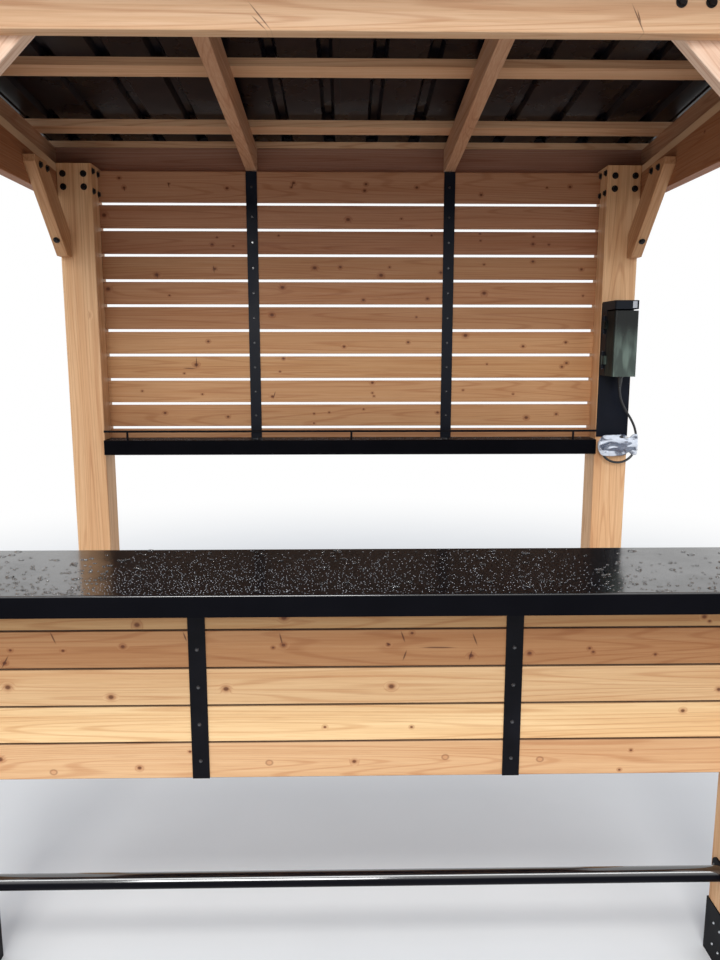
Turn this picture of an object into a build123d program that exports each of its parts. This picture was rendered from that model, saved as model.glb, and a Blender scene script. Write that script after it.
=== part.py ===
from build123d import *
import os
from math import cos, radians, sin, tan

# Outdoor bar: four timber posts, a low-pitched metal roof, a steel bar top at the front,
# a slatted back wall with a steel shelf, a foot rail and a weatherproof outlet box.
# Millimetres, +Z up, the customers' side faces -Y, the origin is on the ground
# under the middle of the roof.

# Posts
POST = 120.0
POST_CLEAR_X = 1814.0
POST_CLEAR_Y = 1123.0
REAR_POST_Y = 702.0
REAR_POST_TOP = 2166.0
POST_EDGE = 2.0
TIMBER_EDGE = 1.5

# Post shoes of folded steel
SHOE_T = 3.0
SHOE_H = 145.0
SHOE_FLOOR = 4.0

# Roof frame
PITCH = 5.0
FRAME_T = 38.0
RAFTER_H = 89.0
RAFTER_X = 358.0
RAKE_H = 140.0
SIDE_BEAM_DROP = 116.0
FRONT_BEAM_H = 127.0
ROOF_FRONT_Y = -885.0
ROOF_REAR_Y = 885.0
ROOF_SIDE_OUT = 15.0
FASCIA_T = 22.0
FASCIA_H = 110.0
EAVE_LIP = 25.0
BATTEN_W = 75.0
BATTEN_T = 22.0
BATTEN_PITCH = 473.5
BATTEN_FIRST_Y = 642.0
BATTEN_COUNT = 4
BATTEN_SHORT = 12.0

# Ribbed roof sheets
RIB_PITCH = 152.4
RIB_BASE = 44.0
RIB_TOP = 22.0
RIB_H = 16.0
SHEET_T = 1.0
SHEET_LAP = 0.3
SHEET_STEP = 3.0
SHEET_HEM = 14.0
EDGE_RIB_IN = 43.0
EDGE_RIB_W = 16.0
EDGE_RIB_TOP = 8.0
EDGE_RIB_H = 5.0

# Knee braces, measured from the post face and from the underside of the beam
BRACE_REACH = 247.0
BRACE_W = 89.0
BRACE_TOE = 45.0
BRACE_TOP_LAP = 80.0
BRACE_NOSE = 22.0

# Slatted back wall
SLAT_W = 80.0
SLAT_GAP = 10.0
SLAT_T = 16.0
SLAT_TOP_W = 107.0
SLAT_SET_BACK = 80.0
SLAT_TOP_DROP = 10.0
WALL_CLEAT = 24.0
CLEAT_SHORT = 12.0

# Flat steel straps
STRAP_W = 40.0
STRAP_T = 3.0

# Rear shelf and its gallery rail
SHELF_TOP = 1196.0
SHELF_LIP = 54.0
SHELF_OUT = 15.0
SHELF_SHEET = 2.0
SHELF_RETURN = 25.0
TRAY_EDGE = 2.0
GALLERY_D = 8.0
GALLERY_RISE = 32.0
GALLERY_IN = 8.0
GALLERY_POST_IN = 85.0

# Bar top
BAR_TOP = 1069.0
BAR_LIP = 45.0
BAR_OUT = 233.0
BAR_WING = 38.0
BAR_SHEET = 2.5
BAR_CLEAR = 2.0
BEARER_W = 38.0
BEARER_IN = 47.0
BAR_RAIL_T = 38.0
BAR_RAIL_H = 70.0
LEDGER_H = 40.0

# Front panel
BOARD_PITCH = 92.0
BOARD_GAP = 3.0
BOARD_T = 17.0
BOARD_COUNT = 5
PANEL_BOTTOM = 532.0
PANEL_SET_BACK = 43.0
STILE_W = 40.0
STILE_T = 25.0
PANEL_STRAP_X = 367.0

# Foot rail
FOOT_D = 38.0
FOOT_WALL = 2.5
FOOT_Z = 252.5
FOOT_PLATE_L = 92.0
FOOT_PLATE_H = 44.0
FOOT_PLATE_T = 5.0
FOOT_PLATE_R = 20.0

# Outlet box on the right rear post
PLATE_W = 116.0
PLATE_T = 3.0
PLATE_Z = 1205.0
PLATE_BELOW_BRACE = 158.0
BOX_IN = 3.0
BOX_W = 84.0
BOX_OVER_PLATE = 4.0
BOX_H = 262.0
BOX_D = 55.0
BOX_WALL = 3.0
HOOD_H = 30.0
COVER_D = 85.0
COVER_WALL = 2.5
COVER_GAP = 5.0
COVER_EDGE = 9.0
HINGE_D = 12.0
HINGE_PIN = 5.0
HINGE_L = 30.0
HINGE_OUT = 7.0
HINGE_UP = (56.0, 180.0)
HINGE_PLAY = 0.4
HINGE_WEB_IN = 2.0
ARM_T = 6.0
ARM_L = 12.0
ARM_BACK = 2.0
ARM_SINK = 1.0

# Cord, its gland and its plug
CORD_D = 8.6
CORD_SIDES = 12
GLAND_D = 19.0
GLAND_L = 24.0
GLAND_NUT_L = 8.0
GLAND_DOME_D = 16.0
GLAND_X = 64.0
GLAND_OUT = 40.0
PLUG_L = 36.0
PLUG_W = 27.0
PLUG_T = 20.0
PLUG_NECK = 13.0
PLUG_R = 5.0
PLUG_COLLAR = 2.0
PRONG_L = 16.0
PRONG_W = 6.3
PRONG_T = 1.5
PRONG_APART = 12.7
PIN_D = 4.8
PIN_L = 18.0
PIN_OFF = 7.0

# Derived planes and lines
tilt = tan(radians(PITCH))
post_in = POST_CLEAR_X / 2
post_out = post_in + POST
rear_back = REAR_POST_Y + POST
front_back = REAR_POST_Y - POST_CLEAR_Y
front_face = front_back - POST
header_back = rear_back + FRAME_T
beam_face = front_face - FRAME_T
rafter_rise = RAFTER_H / cos(radians(PITCH))
batten_rise = BATTEN_T / cos(radians(PITCH))
rafter_front = ROOF_FRONT_Y + EAVE_LIP + FASCIA_T
rake_inner = post_out + FRAME_T
rake_outer = rake_inner + FRAME_T
side_beam_foot = REAR_POST_TOP - SIDE_BEAM_DROP
roof_half = rake_outer + ROOF_SIDE_OUT
rib_room = roof_half - EDGE_RIB_IN - (EDGE_RIB_W + RIB_BASE) / 2
rib_count = 2 * int(rib_room / RIB_PITCH + 0.5)
slat_face = REAR_POST_Y + SLAT_SET_BACK
slat_back = slat_face + SLAT_T
board_face = front_face + PANEL_SET_BACK
board_back = board_face + BOARD_T
slat_top = REAR_POST_TOP - SLAT_TOP_DROP
bar_under = BAR_TOP - BAR_SHEET
bearer_foot = BAR_TOP - BAR_LIP
step = SLAT_W + SLAT_GAP
slat_count = int((slat_top - SLAT_TOP_W - SHELF_TOP) / step) + 1
bearer_end = post_in - BEARER_IN
brace_foot = side_beam_foot + BRACE_TOE - BRACE_REACH
plate_top = brace_foot - PLATE_BELOW_BRACE
box_top = plate_top + BOX_OVER_PLATE
box_foot = box_top - BOX_H
box_face = REAR_POST_Y - PLATE_T
box_x = post_in + BOX_IN
hood_depth = COVER_D + COVER_GAP
hinge_x = box_x - HINGE_OUT
hinge_y = box_face - BOX_D + HINGE_D / 2


def seat(y):
    """Height of the rafters' underside at y."""
    return REAR_POST_TOP + (REAR_POST_Y - y) * tilt


def roof(y):
    """Height of the rafters' top at y."""
    return seat(y) + rafter_rise


front_beam_foot = seat(front_face) - FRONT_BEAM_H


def block(x, y, z):
    """A box from three (low, high) pairs."""
    size = [high - low for low, high in (x, y, z)]
    middle = [(high + low) / 2 for low, high in (x, y, z)]
    return Pos(*middle) * Box(*size)


def side_cut(points, x_low, x_high):
    """An outline of (y, z) points, extruded along X."""
    face = make_face(Polyline(*[(x_low, y, z) for y, z in points], close=True))
    return extrude(face, x_high - x_low, dir=(1, 0, 0))


def front_cut(points, y_low, y_high):
    """An outline of (x, z) points, extruded along Y."""
    face = make_face(Polyline(*[(x, y_low, z) for x, z in points], close=True))
    return extrude(face, y_high - y_low, dir=(0, 1, 0))


def eased(timber, axis, edge=TIMBER_EDGE):
    """A planed timber with the sharp edges round its two faces across axis taken off."""
    return chamfer(timber.faces().filter_by(axis).edges(), edge)


def mirrored(shape):
    return mirror(shape, about=Plane.YZ)


def pair(name, right):
    """The right-hand piece and its mirror image on the left."""
    save(name + "_right", right)
    save(name + "_left", mirrored(right))


def save(name, *solids):
    shape = solids[0] if len(solids) == 1 else Compound(children=list(solids))
    shape.label = name
    export_step(shape, "parts/" + name + ".step")


def make_posts():
    """Square posts with eased long edges, standing in their shoes."""
    rows = (("post_front", front_face, seat(front_back)), ("post_rear", REAR_POST_Y, REAR_POST_TOP))
    for name, y, top in rows:
        post = block((post_in, post_out), (y, y + POST), (SHOE_FLOOR, top))
        pair(name, chamfer(post.edges().filter_by(Axis.Z), POST_EDGE))


def make_shoes():
    """Folded steel cups round the feet of the posts."""
    for name, y in (("shoe_front", front_face), ("shoe_rear", REAR_POST_Y)):
        x = (post_in - SHOE_T, post_out + SHOE_T)
        cup = block(x, (y - SHOE_T, y + POST + SHOE_T), (0, SHOE_H))
        well = block((post_in, post_out), (y, y + POST), (SHOE_FLOOR, SHOE_H))
        pair(name, cup - well)


def make_beams():
    """Beams bolted to the faces of the posts, with their tops ripped to the roof's pitch."""
    front = [(beam_face, front_beam_foot), (front_face, front_beam_foot)]
    front += [(front_face, seat(front_face)), (beam_face, seat(beam_face))]
    save("front_beam", eased(side_cut(front, -post_out, post_out), Axis.Y))

    side = [(beam_face, side_beam_foot), (rear_back, side_beam_foot)]
    side += [(rear_back, seat(rear_back)), (beam_face, seat(beam_face))]
    pair("side_beam", eased(side_cut(side, post_out, rake_inner), Axis.X))

    header = [(rear_back, seat(rear_back)), (header_back, seat(rear_back))]
    header += [(header_back, roof(header_back)), (rear_back, roof(rear_back))]
    save("rear_header", eased(side_cut(header, -rake_inner, rake_inner), Axis.Y))


def rafter(x_low, y_rear, height):
    """A board on edge, height deep square to the slope, with plumb-cut ends."""
    drop = height / cos(radians(PITCH))
    ends = (rafter_front, y_rear)
    outline = [(y, roof(y) - drop) for y in ends] + [(y, roof(y)) for y in reversed(ends)]
    return eased(side_cut(outline, x_low, x_low + FRAME_T), Axis.X)


def make_roof_frame():
    """Rafters on the front beam and against the rear header, rakes outside the side beams."""
    pair("rafter", rafter(RAFTER_X - FRAME_T / 2, rear_back, RAFTER_H))
    pair("rake_rafter", rafter(rake_inner, header_back, RAKE_H))

    face = rafter_front - FASCIA_T
    low = roof(rafter_front) - FASCIA_H
    board = [(face, low), (rafter_front, low), (rafter_front, roof(rafter_front)), (face, roof(face))]
    save("fascia", eased(side_cut(board, -rake_outer, rake_outer), Axis.Y))


def batten(y_middle, width=BATTEN_W):
    half = width * cos(radians(PITCH)) / 2
    low, high = y_middle - half, y_middle + half
    outline = [(low, roof(low)), (high, roof(high))]
    outline += [(high, roof(high) + batten_rise), (low, roof(low) + batten_rise)]
    end = roof_half - BATTEN_SHORT
    return eased(side_cut(outline, -end, end), Axis.X)


def make_battens():
    """Flat battens across the rafters, and a narrow one on top of the rear header."""
    rows = [BATTEN_FIRST_Y - BATTEN_PITCH * n for n in range(BATTEN_COUNT - 1)]
    rows.append(rafter_front + BATTEN_W / 2)
    header_strip = batten((rear_back + header_back) / 2, FRAME_T)
    save("roof_battens", *[batten(y) for y in rows], header_strip)


def rib(x, lift=0.0, base=RIB_BASE, top=RIB_TOP, height=RIB_H):
    """One trapezoid rib's (x, height) points."""
    points = [(x - base / 2, 0), (x - top / 2, height), (x + top / 2, height), (x + base / 2, 0)]
    return [(along, up + lift) for along, up in points]


def edge_rib(side):
    """The low stiffening rib beside a roof sheet's outer edge."""
    return rib(side * (roof_half - EDGE_RIB_IN), 0, EDGE_RIB_W, EDGE_RIB_TOP, EDGE_RIB_H)


def roof_sheet(line):
    """A folded sheet whose cross-section follows line, laid on the battens."""
    base = roof(ROOF_REAR_Y) + batten_rise
    under = [(x, base + z) for x, z in line]
    over = [(x, base + z + SHEET_T) for x, z in reversed(line)]
    face = make_face(Polyline(*[(x, ROOF_REAR_Y, z) for x, z in under + over], close=True))
    run = (ROOF_REAR_Y - ROOF_FRONT_Y) / cos(radians(PITCH))
    return extrude(face, run, dir=(0, -cos(radians(PITCH)), sin(radians(PITCH))))


def make_roof_sheets():
    """Two ribbed sheets; the right one laps over the left one's last rib."""
    ribs = [(n - (rib_count - 1) / 2) * RIB_PITCH for n in range(rib_count)]
    lap = ribs[rib_count // 2 - 1]
    lap_edge = RIB_BASE / 2 + SHEET_HEM
    lift = SHEET_T + SHEET_LAP
    left = [(-roof_half, 0)] + edge_rib(-1)
    for x in ribs[:rib_count // 2]:
        left += rib(x)
    left.append((lap + lap_edge, 0))
    right = [(lap - lap_edge, lift)] + rib(lap, lift)
    right += [(lap + lap_edge + SHEET_STEP, lift), (lap + lap_edge + 2 * SHEET_STEP, 0)]
    for x in ribs[rib_count // 2:]:
        right += rib(x)
    right += edge_rib(1) + [(roof_half, 0)]
    save("roof_sheet_left", roof_sheet(left))
    save("roof_sheet_right", roof_sheet(right))


def brace_outline():
    """Knee brace as (distance from the post face, height over the beam's underside)."""
    back = BRACE_REACH - BRACE_W / cos(radians(45))
    nose = BRACE_REACH + BRACE_TOP_LAP - BRACE_NOSE
    points = [(0, BRACE_TOE - BRACE_REACH), (BRACE_TOE, BRACE_TOE - BRACE_REACH)]
    points += [(nose, nose - BRACE_REACH), (nose, BRACE_TOP_LAP)]
    points += [(back + BRACE_TOP_LAP, BRACE_TOP_LAP), (0, -back)]
    return points


def make_braces():
    """Knee braces from the posts up to the front beam and the side beams."""
    line = brace_outline()
    across = [(post_in - reach, front_beam_foot + up) for reach, up in line]
    pair("brace_front", eased(front_cut(across, front_face, front_face + FRAME_T), Axis.Y))
    rear = [(REAR_POST_Y - reach, side_beam_foot + up) for reach, up in line]
    pair("brace_side_rear", eased(side_cut(rear, post_out - FRAME_T, post_out), Axis.X))
    front = [(front_back + reach, side_beam_foot + up) for reach, up in line]
    pair("brace_side_front", eased(side_cut(front, post_out - FRAME_T, post_out), Axis.X))


def make_back_wall():
    """Spaced slats under a wider top one, on two steel straps, with a short cleat behind each end."""
    rows = [(slat_top - SLAT_TOP_W, slat_top)]
    for n in range(slat_count):
        top = slat_top - SLAT_TOP_W - SLAT_GAP - n * step
        rows.append((top - SLAT_W, top))
    slats = [block((-post_in, post_in), (slat_face, slat_back), row) for row in rows]
    save("back_slats", *[eased(slat, Axis.Y) for slat in slats])

    x = (post_in - WALL_CLEAT, post_in)
    y = (slat_back, slat_back + WALL_CLEAT)
    cleats = [block(x, y, (foot + CLEAT_SHORT, top - CLEAT_SHORT)) for foot, top in rows]
    save("back_cleats", *cleats, *[mirrored(cleat) for cleat in cleats])

    strap_x = (RAFTER_X - STRAP_W / 2, RAFTER_X + STRAP_W / 2)
    strap = block(strap_x, (slat_face - STRAP_T, slat_face), (SHELF_TOP, slat_top))
    save("back_straps", strap, mirrored(strap))


def make_rear_shelf():
    """A folded steel tray between the rear posts, with a thin gallery rail."""
    front = REAR_POST_Y - SHELF_OUT
    outer = block((-post_in, post_in), (front, slat_face), (SHELF_TOP - SHELF_LIP, SHELF_TOP))
    x = post_in - SHELF_SHEET
    hollow = block((-x, x), (front + SHELF_SHEET, slat_face), (0, SHELF_TOP - SHELF_SHEET))
    back = block((-post_in, post_in), (front, slat_face), (0, SHELF_TOP - SHELF_RETURN))
    keep = block((-post_in, post_in), (front, front + SHELF_SHEET), (0, SHELF_TOP))
    nose = outer.edges().filter_by(Axis.X).sort_by(Axis.Y)[:2].sort_by(Axis.Z)[-1]
    save("rear_shelf", fillet(nose, TRAY_EDGE) - hollow - (back - keep))

    rail_y = front + GALLERY_IN
    rail_z = SHELF_TOP + GALLERY_RISE
    bar = Pos(-post_in, rail_y, rail_z) * Rot(0, 90, 0)
    rail = bar * Cylinder(GALLERY_D / 2, 2 * post_in, align=(Align.CENTER, Align.CENTER, Align.MIN))
    end = post_in - GALLERY_POST_IN
    for x in (-end, 0, end):
        stem = Cylinder(GALLERY_D / 2, GALLERY_RISE, align=(Align.CENTER, Align.CENTER, Align.MIN))
        rail += Pos(x, rail_y, SHELF_TOP) * stem
    save("shelf_rail", rail)


def bar_outline(inset):
    """The bar top's plan: wide in front of the posts, narrow between them."""
    wide = post_out + BAR_WING - inset
    narrow = post_in - BAR_CLEAR - inset
    front = front_face - BAR_OUT + inset
    step = front_face - BAR_CLEAR - inset
    back = front_back - inset
    points = [(-wide, front), (wide, front), (wide, step), (narrow, step)]
    points += [(narrow, back), (-narrow, back), (-narrow, step), (-wide, step)]
    return points


def plate(points, low, high):
    face = make_face(Polyline(*[(x, y, low) for x, y in points], close=True))
    return extrude(face, high - low, dir=(0, 0, 1))


def make_bar_top():
    """A folded steel tray, turned down all round, that steps in between the posts."""
    tray = plate(bar_outline(0), BAR_TOP - BAR_LIP, BAR_TOP)
    tray = fillet(tray.faces().sort_by(Axis.Z)[-1].edges(), TRAY_EDGE)
    well = plate(bar_outline(BAR_SHEET), BAR_TOP - BAR_LIP, bar_under)
    save("bar_top", tray - well)


def make_bar_supports():
    """A ledger on the posts, a rail behind the boards and bearers across both."""
    ledger_y = (front_face - BAR_RAIL_T, front_face)
    ledger = block((-post_out, post_out), ledger_y, (bearer_foot - LEDGER_H, bearer_foot))
    rail_y = (board_back, board_back + BAR_RAIL_T)
    rail = block((-post_in, post_in), rail_y, (bearer_foot - BAR_RAIL_H, bearer_foot))
    save("bar_rails", eased(ledger, Axis.Y), eased(rail, Axis.Y))
    bearers = []
    y = (front_face - BAR_OUT + BAR_SHEET, front_back - BAR_SHEET)
    for x in (-bearer_end, -PANEL_STRAP_X, PANEL_STRAP_X, bearer_end):
        bearer = block((x - BEARER_W / 2, x + BEARER_W / 2), y, (bearer_foot, bar_under))
        bearers.append(eased(bearer, Axis.X))
    save("bar_bearers", *bearers)


def make_front_panel():
    """Five close boards between the front posts, on cleats, stiles and steel straps."""
    top = PANEL_BOTTOM + BOARD_COUNT * BOARD_PITCH
    boards = []
    for n in range(BOARD_COUNT):
        low = PANEL_BOTTOM + n * BOARD_PITCH
        z = (low, low + BOARD_PITCH - BOARD_GAP)
        boards.append(eased(block((-post_in, post_in), (board_face, board_back), z), Axis.Y))
    save("front_boards", *boards)

    stile_y = (board_back, board_back + STILE_T)
    foot = bearer_foot - BAR_RAIL_H
    stiles = []
    for x in (-post_in + STILE_W / 2, -PANEL_STRAP_X, PANEL_STRAP_X, post_in - STILE_W / 2):
        stile = block((x - STILE_W / 2, x + STILE_W / 2), stile_y, (PANEL_BOTTOM, foot))
        stiles.append(eased(stile, Axis.Y))
    save("front_stiles", *stiles)

    x = (PANEL_STRAP_X - STRAP_W / 2, PANEL_STRAP_X + STRAP_W / 2)
    strap = block(x, (board_face - STRAP_T, board_face), (PANEL_BOTTOM, top - BOARD_GAP))
    save("front_straps", strap, mirrored(strap))


def make_foot_rail():
    """A round tube between two round-ended plates on the inner faces of the front posts."""
    y = front_face + POST / 2
    length = 2 * post_in
    along = Pos(-post_in, y, FOOT_Z) * Rot(0, 90, 0)
    base = (Align.CENTER, Align.CENTER, Align.MIN)
    tube = along * Cylinder(FOOT_D / 2, length, align=base)
    bore = along * Cylinder(FOOT_D / 2 - FOOT_WALL, length, align=base)
    save("foot_rail", tube - bore)

    z = (FOOT_Z - FOOT_PLATE_H / 2, FOOT_Z + FOOT_PLATE_H / 2)
    flange = block((post_in - FOOT_PLATE_T, post_in), (y - FOOT_PLATE_L / 2, y + FOOT_PLATE_L / 2), z)
    flange = fillet(flange.edges().filter_by(Axis.X), FOOT_PLATE_R)
    flange -= tube
    save("foot_rail_flanges", flange, mirrored(flange))


def box_body(inset, front, low, high):
    x = (box_x + inset, box_x + BOX_W - inset)
    return block(x, (box_face - front, box_face), (low, high))


def make_outlet():
    """Backing plate, box with a hood, and the deep hinged cover."""
    middle = post_in + POST / 2
    x = (middle - PLATE_W / 2, middle + PLATE_W / 2)
    save("outlet_plate", block(x, (box_face, REAR_POST_Y), (PLATE_Z, plate_top)))

    body = box_body(0, BOX_D, box_foot, box_top)
    well = box_body(BOX_WALL, BOX_D, box_foot + BOX_WALL, box_top - BOX_WALL)
    body -= well - box_body(0, BOX_WALL, box_foot, box_top)
    hood = box_body(0, BOX_D + hood_depth, box_top - HOOD_H, box_top)
    hood -= box_body(BOX_WALL, BOX_D + hood_depth - BOX_WALL, box_top - HOOD_H, box_top - BOX_WALL)
    hood = fillet(hood.edges().filter_by(Axis.Z).sort_by(Axis.Y)[:2], COVER_EDGE)
    body += hood
    pin_base = (Align.CENTER, Align.CENTER, Align.MIN)
    for up in HINGE_UP:
        for side in (-1, 1):
            z = box_foot + up + (HINGE_L / 2 + HINGE_PLAY) * side - (HINGE_L / 2 if side < 0 else 0)
            knuckle = Pos(hinge_x, hinge_y, z) * Cylinder(HINGE_D / 2, HINGE_L / 2, align=pin_base)
            web_y = (hinge_y - HINGE_WEB_IN, hinge_y + HINGE_D / 2)
            web = block((hinge_x, box_x), web_y, (z, z + HINGE_L / 2))
            body += knuckle + web
        pin_z = box_foot + up - HINGE_L
        body += Pos(hinge_x, hinge_y, pin_z) * Cylinder(HINGE_PIN / 2, 2 * HINGE_L, align=pin_base)
    save("outlet_box", body)

    back = box_face - BOX_D - COVER_GAP
    low = box_foot
    high = box_top - HOOD_H - COVER_GAP
    x = (box_x, box_x + BOX_W)
    shell = block(x, (back - COVER_D, back), (low, high))
    shell = fillet(shell.edges().filter_by(Axis.Z).sort_by(Axis.Y)[:2], COVER_EDGE)
    x = (box_x + COVER_WALL, box_x + BOX_W - COVER_WALL)
    shell -= block(x, (back - COVER_D + COVER_WALL, back), (low + COVER_WALL, high - COVER_WALL))
    for up in HINGE_UP:
        z = box_foot + up - HINGE_L / 2
        knuckle = Pos(hinge_x, hinge_y, z) * Cylinder(HINGE_D / 2, HINGE_L, align=pin_base)
        side = (hinge_x - ARM_T / 2, hinge_x + ARM_T / 2)
        arm = block(side, (back - ARM_L, hinge_y), (z, z + HINGE_L))
        across = (side[0], box_x + ARM_SINK)
        arm += block(across, (back - ARM_L, back - ARM_BACK), (z, z + HINGE_L))
        bore = HINGE_PIN / 2 + HINGE_PLAY
        shell += knuckle + arm
        shell -= Pos(hinge_x, hinge_y, z) * Cylinder(bore, HINGE_L, align=pin_base)
    save("outlet_cover", shell)


def cord_route():
    """The cord's points from the gland to the plug, chosen by hand."""
    start = (box_x + GLAND_X, box_face - GLAND_OUT, box_foot - GLAND_L)
    steps = [(0, 0, 0), (0, 0, -37), (10, 1, -72), (28, 2, -104), (48, 3, -132), (64, 4, -162)]
    steps += [(73, 5, -196), (74, 5, -231), (66, 5, -263), (44, 4, -286), (14, 4, -296)]
    steps += [(-19, 3, -291), (-44, 3, -273), (-53, 2, -246), (-39, 2, -221), (-12, 1, -214)]
    return [tuple(a + b for a, b in zip(start, step)) for step in steps]


def cord_radii(points):
    """For each corner 0.45 of the shorter run over the tangent of half the turn."""
    radii = []
    for before, here, after in zip(points, points[1:], points[2:]):
        first = Vector(*here) - Vector(*before)
        second = Vector(*after) - Vector(*here)
        turn = radians(first.get_angle(second))
        radii.append(0.45 * min(first.length, second.length) / tan(turn / 2))
    return radii


def make_cord():
    """The gland under the box, the cord's loop and the moulded plug."""
    points = cord_route()
    radii = cord_radii(points)
    print("cord radii", [round(r, 1) for r in radii])
    base = (Align.CENTER, Align.CENTER, Align.MIN)
    x, y, z = points[0]
    nut = RegularPolygon(GLAND_D / 2, 6, major_radius=False)
    gland = extrude(Pos(x, y, z + GLAND_L - GLAND_NUT_L) * nut, GLAND_NUT_L)
    gland += Pos(x, y, z) * Cylinder(GLAND_DOME_D / 2, GLAND_L - GLAND_NUT_L, align=base)
    save("cord_gland", gland)

    path = FilletPolyline(*points, radius=radii)
    section = Plane(origin=path @ 0, z_dir=path % 0) * RegularPolygon(CORD_D / 2, CORD_SIDES)
    tube = sweep(section, path)
    print("cord length", round(path.length, 1))
    print("volume ratio", round(tube.volume / (path.length * section.area), 4))
    save("power_cord", tube)

    end = Plane(origin=path @ 1, z_dir=path % 1, x_dir=(0, 1, 0))
    neck = end * Circle(CORD_D / 2 + PLUG_COLLAR)
    waist = end.offset(PLUG_NECK) * Circle(PLUG_T / 2)
    plug = loft([neck, waist])
    grip = extrude(end.offset(PLUG_NECK) * RectangleRounded(PLUG_T, PLUG_W, PLUG_R), PLUG_L - PLUG_NECK)
    plug += grip
    nose = end.offset(PLUG_L)
    for along in (-PRONG_APART / 2, PRONG_APART / 2):
        plug += extrude(nose * Pos(0, along) * Rectangle(PRONG_W, PRONG_T), PRONG_L)
    plug += extrude(nose * Pos(-PIN_OFF, 0) * Circle(PIN_D / 2), PIN_L)
    save("plug", plug)


os.makedirs("parts", exist_ok=True)
make_posts()
make_shoes()
make_beams()
make_roof_frame()
make_battens()
make_roof_sheets()
make_braces()
make_back_wall()
make_rear_shelf()
make_bar_top()
make_bar_supports()
make_front_panel()
make_foot_rail()
make_outlet()
make_cord()
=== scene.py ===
import math

import bmesh
import bpy
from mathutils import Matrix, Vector, noise


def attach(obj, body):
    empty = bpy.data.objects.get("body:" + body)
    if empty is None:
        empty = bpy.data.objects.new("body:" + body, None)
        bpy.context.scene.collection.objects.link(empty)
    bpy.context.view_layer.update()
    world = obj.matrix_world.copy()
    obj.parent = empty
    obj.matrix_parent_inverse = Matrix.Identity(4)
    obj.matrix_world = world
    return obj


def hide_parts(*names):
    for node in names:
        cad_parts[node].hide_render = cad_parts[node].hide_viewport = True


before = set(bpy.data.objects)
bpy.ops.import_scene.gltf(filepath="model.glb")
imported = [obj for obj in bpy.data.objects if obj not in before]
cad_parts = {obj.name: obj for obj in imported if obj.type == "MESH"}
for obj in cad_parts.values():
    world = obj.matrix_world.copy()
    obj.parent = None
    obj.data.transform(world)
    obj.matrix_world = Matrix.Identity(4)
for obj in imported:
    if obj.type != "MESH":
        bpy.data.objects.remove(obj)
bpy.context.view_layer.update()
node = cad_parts

# Camera. It stands a little left of the middle of the bar, 1.55 m above the ground,
# and looks slightly down at the back wall.
camera = bpy.data.objects.new("camera", bpy.data.cameras.new("camera"))
camera.data.sensor_width = 36.0
camera.data.lens = 30.41
camera.location = (-0.0260, -2.2827, 1.5484)
camera.rotation_euler = (math.radians(80.41), 0.0, math.radians(-1.11))
bpy.context.scene.collection.objects.link(camera)
bpy.context.scene.camera = camera
bpy.context.scene.view_settings.view_transform = "Standard"


# Power cord. A black rubber-jacketed lead, 8.6 mm thick, drops out of the gland under the
# outlet box, bellies out to the right and comes back round to its plug.
def linear(code):
    """A colour written as sRGB hex, as the linear red, green, blue and alpha of a shader."""
    parts = [int(code[n:n + 2], 16) / 255 for n in (1, 3, 5)]
    return [v / 12.92 if v <= 0.04045 else ((v + 0.055) / 1.055) ** 2.4 for v in parts] + [1.0]


def put(tree, kind, links=None, **settings):
    """Adds one node to a tree, with its settings and with a value or a link for each socket."""
    made = tree.nodes.new(kind)
    for setting, value in settings.items():
        setattr(made, setting, value)
    for socket, value in (links or {}).items():
        if isinstance(value, bpy.types.NodeSocket):
            tree.links.new(value, made.inputs[socket])
        else:
            made.inputs[socket].default_value = value
    return made


def finish_named(name, **shader):
    """A new material with its Principled shader, whose plain sockets are set here."""
    material = bpy.data.materials.new(name)
    material.use_nodes = True
    tree = material.node_tree
    tree.nodes.clear()
    surface = put(tree, "ShaderNodeBsdfPrincipled")
    for socket, value in shader.items():
        surface.inputs[socket.replace("_", " ")].default_value = value
    put(tree, "ShaderNodeOutputMaterial", {"Surface": surface.outputs["BSDF"]})
    return material, tree, surface


def feed(surface, **values):
    """Links each value to the shader's socket of that name."""
    for socket, value in values.items():
        surface.id_data.links.new(value, surface.inputs[socket.replace("_", " ")])


def moulded(name, dark, light, grain, rough, depth, **shader):
    """Moulded rubber or plastic: a fine even grain of that size, and a slightly uneven tone."""
    material, tree, surface = finish_named(name, **shader)
    place = put(tree, "ShaderNodeTexCoord").outputs["Object"]
    fine = put(tree, "ShaderNodeTexNoise", {"Vector": place, "Scale": 1 / grain, "Detail": 2.0})
    broad = put(tree, "ShaderNodeTexNoise",
                {"Vector": place, "Scale": 9.0, "Detail": 3.0}).outputs["Fac"]
    tone = put(tree, "ShaderNodeMix", {"Factor": broad, "A": linear(dark), "B": linear(light)},
               data_type="RGBA")
    satin = put(tree, "ShaderNodeMapRange",
                {"Value": broad, "To Min": rough - 0.06, "To Max": rough + 0.06})
    fine_grain = put(tree, "ShaderNodeBump", {"Height": fine.outputs["Fac"], "Distance": depth})
    feed(surface, Base_Color=tone.outputs["Result"], Roughness=satin.outputs["Result"],
         Normal=fine_grain.outputs["Normal"])
    return material


def shown(name, mesh, *materials):
    """A finished mesh as a piece at the origin, riding on the frame."""
    piece = bpy.data.objects.new(name, mesh)
    bpy.context.scene.collection.objects.link(piece)
    for material in materials:
        mesh.materials.append(material)
    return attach(piece, "frame")


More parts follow.
